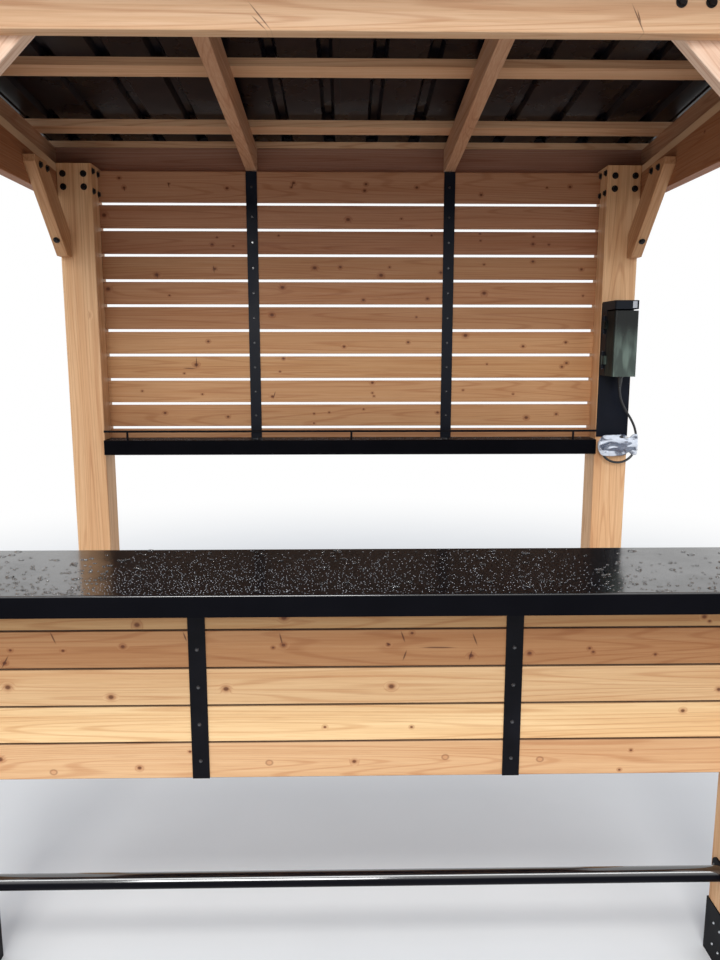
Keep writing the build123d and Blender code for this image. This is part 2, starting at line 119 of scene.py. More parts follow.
# Matt rubber: nearly black, soft wide highlight, a fine skin of 0.4 mm that just shows.
CORD_JACKET = moulded("rubber_cord_jacket", "#131416", "#1b1c1f", 0.0006, 0.38, 0.00002,
                      Specular_IOR_Level=0.55)
CORD_START = Vector((0.974, 0.659, 1.408))
CORD_STEPS = ((0, 0, 0), (0, 0, -37), (10, 1, -72), (28, 2, -104), (48, 3, -132), (64, 4, -162),
              (73, 5, -196), (74, 5, -231), (66, 5, -263), (44, 4, -286), (14, 4, -296),
              (-19, 3, -291), (-44, 3, -273), (-53, 2, -246), (-39, 2, -221), (-12, 1, -214))
CORD_D = 0.0086
cord_points = [CORD_START + Vector(step) / 1000 for step in CORD_STEPS]
cord_line = bpy.data.curves.new("power_cord_line", "CURVE")
cord_line.dimensions = "3D"
cord_line.bevel_depth = CORD_D / 2
cord_line.bevel_resolution = 5
cord_line.resolution_u = 8
spline = cord_line.splines.new("NURBS")
spline.points.add(len(cord_points) - 1)
for control, place in zip(spline.points, cord_points):
    control.co = (*place, 1.0)
spline.order_u = 3
spline.use_endpoint_u = True
cord_line.materials.append(CORD_JACKET)
power_cord = bpy.data.objects.new("power_cord_lead", cord_line)
bpy.context.scene.collection.objects.link(power_cord)
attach(power_cord, "frame")
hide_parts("power_cord")


def mesh_of(name, build, smooth=True, sharp=35.0):
    """A mesh from a function that fills a bmesh, its doubles merged and its faces outwards."""
    shape = bmesh.new()
    build(shape)
    bmesh.ops.remove_doubles(shape, verts=shape.verts, dist=0.00001)
    bmesh.ops.recalc_face_normals(shape, faces=shape.faces)
    mesh = bpy.data.meshes.new(name)
    shape.to_mesh(mesh)
    shape.free()
    if smooth:
        mesh.shade_smooth()
        mesh.set_sharp_from_angle(angle=math.radians(sharp))
    return mesh


def skin(shape, rings, closed=(True, True)):
    """Quads between rings of points, with a cap on each end that is closed."""
    rows = [[shape.verts.new(p) for p in ring] for ring in rings]
    count = len(rows[0])
    for low, high in zip(rows, rows[1:]):
        for n in range(count):
            shape.faces.new((low[n], low[(n + 1) % count], high[(n + 1) % count], high[n]))
    for row, cap in ((rows[0], closed[0]), (rows[-1], closed[1])):
        if cap:
            shape.faces.new(row)


# Strain relief. A tapered rubber boot grips the first 30 mm of the cord below the gland nut;
# it is moulded in one with three soft grooves.
BOOT_L = 0.030
BOOT_TOP_R = 0.0072
BOOT_END_R = 0.0049


def boot_rings(shape):
    rings = []
    for n in range(31):
        share = n / 30
        groove = 0.0007 * max(0.0, math.sin(share * 7 * math.pi)) * (share > 0.14)
        radius = BOOT_TOP_R + (BOOT_END_R - BOOT_TOP_R) * share - groove
        turns = [math.tau * k / 24 for k in range(24)]
        rings.append([CORD_START + Vector((radius * math.cos(t), radius * math.sin(t),
                                           0.002 - BOOT_L * share))
                      for t in turns])
    skin(shape, rings)


boot = shown("cord_boot", mesh_of("cord_boot", boot_rings, sharp=50), CORD_JACKET)

# Plug. A moulded three-pin plug in line with the cord's end: a collar, a waist with finger
# grooves, a rounded grip and nickel-plated pins.
PLUG_L = 0.036
PLUG_HALF = (0.0100, 0.0135)
plug_along = (cord_points[-1] - cord_points[-2]).normalized()
plug_thin = (Vector((0, 1, 0)) - plug_along * plug_along.y).normalized()
plug_wide = plug_along.cross(plug_thin)


def plug_place(along, thin, wide):
    return cord_points[-1] + plug_along * along + plug_thin * thin + plug_wide * wide


def plug_rings(shape):
    rings = []
    for n in range(37):
        share = n / 36
        swell = min(1.0, max(0.0, (share - 0.08) / 0.34))
        swell = swell * swell * (3 - 2 * swell)
        half = [0.0063 + (side - 0.0063) * swell for side in PLUG_HALF]
        groove = 0.0006 * (math.sin(share * 22 * math.pi) > 0) * (0.36 < share < 0.82)
        ease = 0.0012 * max(0.0, share - 0.94) / 0.06
        power = 2 + 2.2 * swell
        ring = []
        for k in range(32):
            turn = math.tau * k / 32
            c, s = math.cos(turn), math.sin(turn)
            thin = math.copysign(abs(c) ** (2 / power), c) * (half[0] - groove - ease)
            wide = math.copysign(abs(s) ** (2 / power), s) * (half[1] - groove - ease)
            ring.append(plug_place(share * PLUG_L, thin, wide))
        rings.append(ring)
    skin(shape, rings)


def pin_bars(shape):
    bars = [(-0.00635, 0.0, 0.0032, 0.00075, 0.016), (0.00635, 0.0, 0.0032, 0.00075, 0.016)]
    for wide, thin, half_thin, half_wide, length in bars:
        rings = []
        for along, ease in ((PLUG_L - 0.001, 0), (PLUG_L + length - 0.0012, 0),
                            (PLUG_L + length, 0.0005)):
            corners = [(-1, -1), (1, -1), (1, 1), (-1, 1)]
            rings.append([plug_place(along, thin + a * (half_thin - ease),
                                     wide + b * (half_wide - ease * 0.6))
                          for a, b in corners])
        skin(shape, rings)
    rings = []
    for along, radius in ((PLUG_L - 0.001, 0.0024), (PLUG_L + 0.0155, 0.0024),
                          (PLUG_L + 0.0175, 0.0016)):
        turns = [math.tau * k / 16 for k in range(16)]
        rings.append([plug_place(along, -0.007 + radius * math.cos(t),
                                 radius * math.sin(t)) for t in turns])
    skin(shape, rings)


# Nickel plate: neutral grey metal, slightly brushed by use.
PIN_METAL, tree, surface = finish_named("nickel_plated_brass", Metallic=1.0,
                                        Base_Color=linear("#b9b5ab"))
brushed = put(tree, "ShaderNodeTexNoise",
              {"Vector": put(tree, "ShaderNodeTexCoord").outputs["Object"], "Scale": 900.0})
worn = put(tree, "ShaderNodeMapRange",
           {"Value": brushed.outputs["Fac"], "To Min": 0.2, "To Max": 0.42})
feed(surface, Roughness=worn.outputs["Result"])

plug = shown("cord_plug", mesh_of("cord_plug", plug_rings, sharp=40), CORD_JACKET)
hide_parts("plug")
plug_pins = shown("cord_plug_pins", mesh_of("cord_plug_pins", pin_bars), PIN_METAL)

# Clear bag. A thin crumpled polythene bag keeps the plug dry: its closed end is round the
# plug and the cord's loop, a tie draws it in, and its open mouth flares on the hanging cord.
BAG_LEFT, BAG_RIGHT = 0.906, 1.048
BAG_LOW, BAG_HIGH = 1.138, 1.215
BAG_Y = 0.661
BAG_AROUND = 96
BAG_ALONG = 72


def crease(place):
    """How far a point of a stiff thin film stands out: the folds of two noise octaves."""
    wide = 1 - 2 * abs(noise.noise(place))
    return wide + 0.5 * (1 - 2 * abs(noise.noise(place * 2.1 + Vector((3.1, 0.4, 7.7))))) - 0.6


def bag_point(share, turn):
    """A point of the bag, a flattened sleeve; share runs from its closed end to its mouth."""
    end = math.sqrt(max(0.0, 1 - max(0.0, 1 - share / 0.20) ** 2))
    neck = 1 - 0.30 * math.exp(-((share - 0.80) / 0.07) ** 2)
    high = (BAG_HIGH - BAG_LOW) / 2 * end * neck
    deep = 0.0165 * end * (1 - 0.3 * share) + 0.0006
    middle = (BAG_HIGH + BAG_LOW) / 2 + 0.006 * max(0.0, share - 0.35)
    point = Vector((BAG_LEFT + (BAG_RIGHT - BAG_LEFT) * share, BAG_Y + deep * math.cos(turn),
                    middle + high * math.sin(turn)))
    lay = Vector((point.x * 20.0, point.y * 46.0, point.z * 60.0))
    folds = crease(lay) * 0.0036 + crease(lay * 2.3) * 0.0008
    out = Vector((0.15 * math.sin(share * 40), math.cos(turn), 0.35 * math.sin(turn)))
    return point + out * (folds + 0.001) * min(1.0, share / 0.1)


def bag_film(shape):
    turns = [math.tau * k / BAG_AROUND for k in range(BAG_AROUND)]
    skin(shape, [[bag_point(max(0.004, n / BAG_ALONG), turn) for turn in turns]
                 for n in range(BAG_ALONG + 1)], closed=(True, False))


def stained(tree, colour, value, reach, tint, how="MIX"):
    """Lays a tint over a colour. Its share follows a value: reach holds the value's two ends and
    the share at each of them."""
    share = put(tree, "ShaderNodeMapRange",
                {"Value": value, "From Min": reach[0], "From Max": reach[1],
                 "To Min": reach[2], "To Max": reach[3]},
                interpolation_type="SMOOTHSTEP")
    return put(tree, "ShaderNodeMix",
               {"Factor": share.outputs["Result"], "A": colour, "B": linear(tint)},
               data_type="RGBA", blend_type=how).outputs["Result"]


# Polythene film: bluish white where it doubles, clear down in its folds and painted dark there as
# painted shade, with hard small glints.
BAG_FILM, tree, surface = finish_named("clear_polythene_film", Roughness=0.25, IOR=1.5)
place = put(tree, "ShaderNodeTexCoord").outputs["Object"]
drawn = put(tree, "ShaderNodeMapping", {"Vector": place, "Rotation": (0.0, math.radians(14), 0.0),
                                        "Scale": (15.0, 30.0, 36.0)})
haze = put(tree, "ShaderNodeTexNoise",
           {"Vector": drawn.outputs["Vector"], "Scale": 1.0, "Detail": 2.0,
            "Distortion": 1.1}).outputs["Fac"]
film_tone_and_fold_shade = stained(tree, linear("#59647a"), haze, (0.36, 0.49, 0.0, 1.0), "#e4ebf6")
seen_film = put(tree, "ShaderNodeMapRange", {"Value": haze, "From Min": 0.36, "From Max": 0.49,
                                             "To Min": 0.62, "To Max": 0.9},
                interpolation_type="SMOOTHSTEP")
crumpled = put(tree, "ShaderNodeBump", {"Height": haze, "Distance": 0.002})
feed(surface, Base_Color=film_tone_and_fold_shade, Alpha=seen_film.outputs["Result"],
     Normal=crumpled.outputs["Normal"])
clear_bag = shown("clear_bag", mesh_of("clear_bag", bag_film, sharp=180), BAG_FILM)


# Posts. Four planed posts of clear-stained cedar, 120 mm square, with the grain upright and
# a few tight knots. The frame, the slats and the boards are sawn from the same timber.
def grain_place(tree, along, rows):
    """The place on a timber as (along the grain, across, deep), and how many rows up it is."""
    place = put(tree, "ShaderNodeTexCoord").outputs["Object"]
    if along.endswith("brace"):
        between_posts = (0.0, 0.1405, 0.0)
        moved = put(tree, "ShaderNodeVectorMath", {0: place, 1: between_posts},
                    operation="SUBTRACT")
        paired = put(tree, "ShaderNodeVectorMath", {0: moved.outputs[0]}, operation="ABSOLUTE")
        turn = (0.0, math.radians(-45), 0.0) if along == "brace" else (math.radians(45), 0.0, 0.0)
        place = put(tree, "ShaderNodeMapping",
                    {"Vector": paired.outputs[0], "Rotation": turn}).outputs["Vector"]
    axes = put(tree, "ShaderNodeSeparateXYZ", {"Vector": place}).outputs
    order = {"x": "XYZ", "y": "YXZ", "z": "ZXY", "brace": "XYZ", "side_brace": "YXZ"}[along]
    run, rise = axes[order[0]], None
    if rows:
        above = put(tree, "ShaderNodeMath", {0: axes["Z"], 1: rows[0]},
                    operation="SUBTRACT").outputs[0]
        rise = put(tree, "ShaderNodeMath", {0: above, 1: rows[1]}, operation="DIVIDE").outputs[0]
        row = put(tree, "ShaderNodeMath", {0: rise}, operation="FLOOR").outputs[0]
        run = put(tree, "ShaderNodeMath", {0: row, 1: 3.71, 2: run},
                  operation="MULTIPLY_ADD").outputs[0]
    laid = put(tree, "ShaderNodeCombineXYZ", {"X": run, "Y": axes[order[1]], "Z": axes[order[2]]})
    return laid.outputs["Vector"], rise


def row_tone(tree, rise, tones):
    """One tone for each row of boards, counted from the lowest."""
    row = put(tree, "ShaderNodeMath", {0: rise}, operation="FLOOR").outputs[0]
    share = put(tree, "ShaderNodeMath", {0: row, 1: 1 / len(tones), 2: 0.5 / len(tones)},
                operation="MULTIPLY_ADD").outputs[0]
    ramp = put(tree, "ShaderNodeValToRGB", {"Fac": share})
    ramp.color_ramp.interpolation = "CONSTANT"
    ramp.color_ramp.elements.remove(ramp.color_ramp.elements[-1])
    for n, tone in enumerate(tones):
        stops = ramp.color_ramp.elements
        stop = stops[0] if n == 0 else stops.new(n / len(tones))
        stop.color = linear(tone)
    return ramp.outputs["Color"]


def streaks(tree, laid, scale, detail=2.0):
    """Noise drawn out along the grain; scale is how many waves to the metre, each way."""
    long = put(tree, "ShaderNodeMapping", {"Vector": laid, "Scale": scale})
    return put(tree, "ShaderNodeTexNoise", {"Vector": long.outputs["Vector"], "Scale": 1.0,
                                            "Detail": detail}).outputs["Fac"]


def least(tree, values):
    nearest = values[0]
    for value in values[1:]:
        nearest = put(tree, "ShaderNodeMath", {0: nearest, 1: value},
                      operation="MINIMUM").outputs[0]
    return nearest


def placed_knots(tree, knots):
    """How many knot radii a face point is from the nearest of the knots, given as (x, z) in mm."""
    place = put(tree, "ShaderNodeTexCoord").outputs["Object"]
    flat = put(tree, "ShaderNodeVectorMath", {0: place, 1: (0.8, 0.0, 1.0)},
               operation="MULTIPLY").outputs[0]
    groups = []
    for radius, centres in knots:
        away = [put(tree, "ShaderNodeVectorMath", {0: flat, 1: (0.8 * x / 1000, 0.0, z / 1000)},
                    operation="DISTANCE").outputs["Value"] for x, z in centres]
        groups.append(put(tree, "ShaderNodeMath", {0: least(tree, away), 1: radius},
                          operation="DIVIDE").outputs[0])
    return least(tree, groups)


def placed_marks(tree, marks, half_width):
    """The same for narrow bark streaks, given by their ends (x, z, x, z) in mm; 1 is an edge."""
    place = put(tree, "ShaderNodeTexCoord").outputs["Object"]
    away = []
    for x1, z1, x2, z2 in marks:
        half = math.hypot(x2 - x1, z2 - z1) / 2000
        local = put(tree, "ShaderNodeMapping", {
            "Vector": place, "Location": ((x1 + x2) / 2000, 0.0, (z1 + z2) / 2000),
            "Rotation": (0.0, -math.atan2(z2 - z1, x2 - x1), 0.0),
            "Scale": (half, 1000.0, half_width)}, vector_type="TEXTURE")
        away.append(put(tree, "ShaderNodeVectorMath", {0: local.outputs["Vector"]},
                        operation="LENGTH").outputs["Value"])
    return least(tree, away)


def scattered_knots(tree, laid, every, radius):
    """The same for knots strewn through a timber, about one in each box of that size in metres."""
    cells = put(tree, "ShaderNodeVectorMath", {0: laid, 1: tuple(1 / e for e in every)},
                operation="MULTIPLY")
    nearest = put(tree, "ShaderNodeTexVoronoi", {"Vector": cells.outputs[0], "Scale": 1.0})
    centre = put(tree, "ShaderNodeVectorMath", {0: nearest.outputs["Position"], 1: tuple(every)},
                 operation="MULTIPLY")
    away = put(tree, "ShaderNodeVectorMath", {0: laid, 1: centre.outputs[0]}, operation="SUBTRACT")
    away = put(tree, "ShaderNodeVectorMath", {0: away.outputs[0], 1: (0.7, 1.0, 1.0)},
               operation="MULTIPLY")
    length = put(tree, "ShaderNodeVectorMath", {0: away.outputs[0]},
                 operation="LENGTH").outputs["Value"]
    size = put(tree, "ShaderNodeSeparateColor", {"Color": nearest.outputs["Color"]}).outputs["Red"]
    size = put(tree, "ShaderNodeMapRange", {"Value": size, "From Min": 0.35, "From Max": 1.0,
                                            "To Min": 0.0002, "To Max": radius}).outputs["Result"]
    return put(tree, "ShaderNodeMath", {0: length, 1: size}, operation="DIVIDE").outputs[0]


def cedar(name, along, tones, rows=None, knots=None, marks=None, mark_half=0.0022, rings=None,
          strewn=None, joints=False, painted_light_band=None):
    """Planed and clear-stained cedar. Pale early wood and thin darker lines of late wood run with
    the grain, bend round the knots and differ from board to board; the pores are drawn 1.4 mm wide,
    coarser than the real ones, so that they show."""
    material, tree, surface = finish_named(name, Specular_IOR_Level=0.3)
    laid, rise = grain_place(tree, along, rows)
    near = placed_knots(tree, knots) if knots else scattered_knots(tree, laid, *strewn)
    slow = streaks(tree, laid, (0.45, 11.0, 11.0), 1.0)
    swirl = put(tree, "ShaderNodeMapRange", {"Value": near, "From Min": 0.6, "From Max": 3.0,
                                             "To Min": 1.2, "To Max": 0.0},
                interpolation_type="SMOOTHSTEP").outputs["Result"]
    phase = put(tree, "ShaderNodeMath", {0: slow, 1: 22.0, 2: swirl},
                operation="MULTIPLY_ADD").outputs[0]
    wave = put(tree, "ShaderNodeMath", {0: phase, 1: 0.5}, operation="PINGPONG").outputs[0]
    line = put(tree, "ShaderNodeMapRange", {"Value": wave, "From Min": 0.28, "From Max": 0.5},
               interpolation_type="SMOOTHSTEP").outputs["Result"]
    band = streaks(tree, laid, (0.8, 22.0, 22.0), 3.0)
    fibre = streaks(tree, laid, (3.0, 220.0, 220.0))
    pores = streaks(tree, laid, (12.0, 700.0, 700.0))
    colour = row_tone(tree, rise, tones) if rows else linear(tones[0])
    layers = [(band, (0.40, 0.72, 0.0, 0.34), "#d3a87c"), (line, (0.0, 1.0, 0.0, 0.30), "#c6966b"),
              (fibre, (0.35, 0.65, 0.0, 0.22), "#ddbd9c"),
              (pores, (0.5, 0.75, 0.0, 0.22), "#b8906a"), (near, (0.9, 2.8, 0.42, 0.0), "#b06a38")]
    if rings:
        near_ring = placed_knots(tree, ((0.0062, rings),))
        off_rim = put(tree, "ShaderNodeMath", {0: near_ring, 1: 1.0},
                      operation="SUBTRACT").outputs[0]
        off_rim = put(tree, "ShaderNodeMath", {0: off_rim}, operation="ABSOLUTE").outputs[0]
        layers += [(off_rim, (0.08, 0.42, 0.42, 0.0), "#7b4526"),
                   (near_ring, (0.8, 1.1, 0.3, 0.0), "#cf8f60")]
    # Along each row's edges the timber is painted darker, as painted shade in the joints between
    # boards.
    if joints:
        to_joint = put(tree, "ShaderNodeMath", {0: rise, 1: 0.5}, operation="PINGPONG").outputs[0]
        layers.append((to_joint, (0.018, 0.040, 0.75, 0.0), "#4a2818"))
    for value, reach, tint in layers:
        colour = stained(tree, colour, value, reach, tint, "MULTIPLY")
    # A pale band with a wavy lower edge along the timber's top: painted light of a lit strip.
    if painted_light_band:
        foot, slope = painted_light_band
        place = put(tree, "ShaderNodeTexCoord").outputs["Object"]
        axes = put(tree, "ShaderNodeSeparateXYZ", {"Vector": place}).outputs
        lean = put(tree, "ShaderNodeMath", {0: axes["Y"], 1: slope, 2: axes["Z"]},
                   operation="MULTIPLY_ADD").outputs[0]
        edge = put(tree, "ShaderNodeMath", {0: slow, 1: 0.010, 2: lean},
                   operation="MULTIPLY_ADD").outputs[0]
        colour = stained(tree, colour, edge, (foot, foot + 0.003, 0.0, 0.7), "#e6c49c")
    colour = stained(tree, colour, near, (0.5, 1.3, 0.85, 0.0), "#55280f")
    if marks:
        colour = stained(tree, colour, placed_marks(tree, marks, mark_half), (0.4, 1.2, 0.8, 0.0),
                         "#4a2413")
    satin = put(tree, "ShaderNodeMapRange", {"Value": fibre, "From Min": 0.3, "From Max": 0.7,
                                             "To Min": 0.5, "To Max": 0.68},
                interpolation_type="SMOOTHSTEP")
    relief = put(tree, "ShaderNodeMath", {0: pores, 1: 0.6, 2: fibre},
                 operation="MULTIPLY_ADD").outputs[0]
    relief = put(tree, "ShaderNodeMath", {0: line, 1: 0.5, 2: relief},
                 operation="MULTIPLY_ADD").outputs[0]
    planed = put(tree, "ShaderNodeBump", {"Height": relief, "Distance": 0.0002})
    feed(surface, Base_Color=colour, Roughness=satin.outputs["Result"],
         Normal=planed.outputs["Normal"])
    return material


def dressed(material, *names):
    """Gives CAD pieces a material; a name that ends with _ stands for its left and right piece."""
    for name in names:
        for piece in (name + "left", name + "right") if name.endswith("_") else (name,):
            for held in node[piece].material_slots:
                held.material = material


STREWN = ((0.34, 0.10, 0.10), 0.008)
POST_TIMBER = cedar("cedar_posts", "z", ["#e6ba8c"], strewn=STREWN)
dressed(POST_TIMBER, "post_front_", "post_rear_")


# Post shoes. Cups of 3 mm steel, folded and powder-coated black, hold the post feet off
# the ground.
def powder_coat(name, base, dusty, rough, peel=0.00006, **shader):
    """Baked powder coat: black, satin, with the fine orange peel of the paint, 1.5 mm across."""
    material, tree, surface = finish_named(name, **shader)
    place = put(tree, "ShaderNodeTexCoord").outputs["Object"]
    grain = put(tree, "ShaderNodeTexNoise",
                {"Vector": place, "Scale": 650.0, "Detail": 1.0}).outputs["Fac"]
    dust = put(tree, "ShaderNodeTexNoise",
               {"Vector": place, "Scale": 7.0, "Detail": 5.0}).outputs["Fac"]
    satin = put(tree, "ShaderNodeMapRange", {"Value": dust, "From Min": 0.3, "From Max": 0.7,
                                             "To Min": rough - 0.06, "To Max": rough + 0.06},
                interpolation_type="SMOOTHSTEP")
    orange_peel = put(tree, "ShaderNodeBump", {"Height": grain, "Distance": peel})
    feed(surface, Base_Color=stained(tree, linear(base), dust, (0.4, 0.7, 0.0, 1.0), dusty),
         Roughness=satin.outputs["Result"], Normal=orange_peel.outputs["Normal"])
    return material


STEEL_COAT = powder_coat("powder_coated_steel", "#0a0a0e", "#121217", 0.5, Specular_IOR_Level=0.07)
dressed(STEEL_COAT, "shoe_front_", "shoe_rear_", "front_straps", "foot_rail_flanges", "shelf_rail")

# Beams, header, rafters and rakes. Two-inch cedar boards on edge; the side beams have a pale
# band painted along their tops, painted light of the lit strip seen there. The front beam has bark
# streaks near both its braces.
TILT = math.tan(math.radians(5.0))
SEAT_AT_0 = 2.166 + 0.702 * TILT
FRONT_BEAM_MARKS = [(-209, 2199, -165, 2147), (-204, 2175, -175, 2148), (538, 2201, 566, 2145),
                    (549, 2190, 558, 2163)]
FRONT_BEAM_TIMBER = cedar("cedar_front_beam", "x", ["#dfb892"], marks=FRONT_BEAM_MARKS,
                          mark_half=0.0015, strewn=STREWN)
dressed(FRONT_BEAM_TIMBER, "front_beam", "fascia", "bar_rails")
# The header's tone is darker than the other timber, partly its own and partly painted shade from
# under the roof.
HEADER_TIMBER = cedar("cedar_header", "x", ["#a67b66"], strewn=STREWN)
dressed(HEADER_TIMBER, "rear_header")
SIDE_TIMBER = cedar("cedar_side_beams", "y", ["#a9744f"], strewn=STREWN,
                    painted_light_band=(SEAT_AT_0 - 0.023, TILT))
dressed(SIDE_TIMBER, "side_beam_")
RAFTER_TIMBER = cedar("cedar_rafters", "y", ["#c39878"], strewn=STREWN)
dressed(RAFTER_TIMBER, "rafter_", "rake_rafter_", "bar_bearers")

# Knee braces. Short 45 degree struts sawn from the same board, with their grain along the
# strut; each is cut to the post and the beam, and bolted to both.
# The front braces are painted much paler than the rest of the timber, as painted light that lifts
# them out of the shade under the beam.
BRACE_TIMBER_PAINTED_LIGHT = cedar("cedar_front_braces", "brace", ["#f1d3bb"], strewn=STREWN)
dressed(BRACE_TIMBER_PAINTED_LIGHT, "brace_front_")
SIDE_BRACE_TIMBER = cedar("cedar_side_braces", "side_brace", ["#c89a70"], strewn=STREWN)
dressed(SIDE_BRACE_TIMBER, "brace_side_rear_", "brace_side_front_")

# Roof battens. Flat cedar laths across the rafters, which the sheets are screwed to. The stiles
# behind the front boards are sawn from the same stuff.
BATTEN_TIMBER = cedar("cedar_battens", "x", ["#dab08a"], strewn=((0.5, 0.08, 0.08), 0.006))
dressed(BATTEN_TIMBER, "roof_battens", "front_stiles")

# Back slats. Eleven spaced cedar slats, a wide one on top, fixed to upright cleats at both ends.
# They have many small dark knots, and each slat has a tone of its own.
SLAT_KNOTS = (
    (0.0028, [(-654, 2113), (-487, 1927), (-429, 1897), (-667, 1721), (-623, 1436), (-782, 1371),
              (-558, 1359), (-215, 2102), (184, 1994), (-263, 1934), (295, 1936), (142, 1823),
              (243, 1643), (-266, 1443), (80, 1363), (86, 1351), (-140, 1285), (-83, 1290),
              (47, 1302), (-141, 1249), (712, 2104), (472, 1942), (475, 1918), (669, 1932),
              (727, 1904), (490, 1833), (861, 1721), (510, 1470), (422, 1373), (612, 1358)]),
    (0.0042, [(-831, 2132), (-815, 2099), (-446, 2098), (-505, 1902), (-498, 1816), (-530, 1554),
              (-700, 1289), (-464, 1274), (-206, 2117), (55, 2114), (50, 2091), (239, 2103),
              (-39, 1823), (331, 1804), (46, 1705), (283, 1710), (213, 1551), (-26, 1535),
              (-252, 1491), (80, 1401), (-296, 1350), (327, 1289), (473, 2078), (796, 2107),
              (668, 1906), (670, 1844), (851, 1816), (644, 1536), (804, 1551), (810, 1474),
              (793, 1460), (779, 1282)]),
    (0.0060, [(-891, 2004), (-711, 1794), (-890, 1744), (-10, 1991), (-133, 1820), (111, 1794),
              (-252, 1750), (-292, 1651), (493, 1730), (427, 1576), (665, 1269), (-577, 1468)]),
)
SLAT_MARKS = [(-710, 1804, -708, 1782), (-576, 1499, -577, 1456), (-628, 1456, -577, 1454),
              (-284, 1370, -294, 1340), (-657, 2119, -653, 2098), (-209, 2119, -213, 2097),
              (-815, 2102, -813, 2086), (-504, 1830, -500, 1800)]
SLAT_TONES = ["#bd8b61", "#bd8e62", "#c49568", "#c29364", "#c39467", "#b08159", "#b2815a",
              "#ad7e57", "#a47352", "#b2805f", "#b68563"]
SLAT_TIMBER = cedar("cedar_slats", "x", SLAT_TONES, rows=(1.144, 0.090), knots=SLAT_KNOTS,
                    marks=SLAT_MARKS)
dressed(SLAT_TIMBER, "back_slats")
dressed(cedar("cedar_cleats", "z", ["#b98259"], strewn=STREWN), "back_cleats")

# Back straps. Flat steel screwed down the slats, with the same kind of black coat, painted bluish
# all over as a painted reflection of the sky. The outlet box's plate is made of it too.
SKY_TINTED_STRAP_COAT = powder_coat("powder_coated_straps", "#080c17", "#0f1420", 0.42,
                              Specular_IOR_Level=0.12)
dressed(SKY_TINTED_STRAP_COAT, "back_straps", "outlet_plate")

# Front boards. Five wide boards of bright new cedar with close joints; each was cut from another
# plank, so their tones differ, and the top two are painted darker as painted shade of the bar top's
# lip. Each board is also painted darker along its edges as painted shade in the joints. Dark knots,
# pale rings of knots and a few bark streaks.
BOARD_KNOTS = (
    (0.0028, [(-674, 851), (-794, 853), (-392, 599), (129, 888), (-192, 855), (74, 860),
              (-74, 658), (130, 656), (543, 848), (552, 839), (698, 832), (654, 592), (629, 542),
              (820, 912)]),
    (0.0042, [(-537, 860), (-512, 559), (-168, 861), (-5, 570), (403, 837), (807, 923), (854, 744),
              (772, 691), (-809, 822), (267, 832)]),
    (0.0055, [(-502, 912), (-806, 763), (-570, 737), (-303, 755), (-837, 584), (-166, 927),
              (82, 758)]),
)
BOARD_MARKS = [(-701, 897, -689, 867), (-817, 809, -799, 841), (-177, 891, -170, 861),
               (-398, 895, -390, 871), (103, 894, 113, 865), (117, 847, 108, 821),
               (269, 888, 281, 856), (269, 846, 262, 820), (148, 853, 233, 852),
               (69, 865, 80, 859)]
BOARD_RINGS = [(-714, 550), (-206, 569), (211, 579), (437, 571)]
# The last two tones, for the top boards, are darker as painted shade of the lip.
BOARD_TONES_AND_LIP_SHADE = ["#d3ab80", "#e9c694", "#dbb587", "#ae8056", "#b69063"]
BOARD_TIMBER = cedar("cedar_front_boards", "x", BOARD_TONES_AND_LIP_SHADE, rows=(0.5305, 0.092),
                     knots=BOARD_KNOTS, marks=BOARD_MARKS, rings=BOARD_RINGS, joints=True)
dressed(BOARD_TIMBER, "front_boards")

# Roof sheets. Folded ribbed steel with a baked black enamel, smooth and satin, screwed down on
# the battens. A rib stands every 152.4 mm.
ROOF_FRONT, ROOF_TOP = -0.885, 2.4346
RIB_XS = [(n - 6.5) * 0.1524 for n in range(14)]
ROOF_ENAMEL = powder_coat("baked_enamel_roof_sheet", "#08080e", "#0d0d13", 0.3, peel=0.00001,
                          Specular_IOR_Level=0.12)
dressed(ROOF_ENAMEL, "roof_sheet_")


# Rib closures. Blocks of closed-cell foam, black and cut to the ribs' shape, are pressed in above
# the header and shut the sheets' ribs.
def rib_closures(shape):
    rib_depth = 0.0167
    for middle in RIB_XS:
        rings = []
        for y in (0.838, 0.858):
            z = ROOF_TOP - rib_depth + (ROOF_FRONT - y) * TILT
            rings.append([Vector((middle + side * half, y, z + up)) for side, half, up in (
                (-1, 0.0210, 0.0), (1, 0.0210, 0.0), (1, 0.0103, 0.0148), (-1, 0.0103, 0.0148))])
        skin(shape, rings)


CLOSED_CELL_FOAM = moulded("closed_cell_foam", "#121214", "#1a1a1d", 0.002, 0.8, 0.0002)
shown("rib_closures", mesh_of("rib_closures", rib_closures, smooth=False),
              CLOSED_CELL_FOAM)


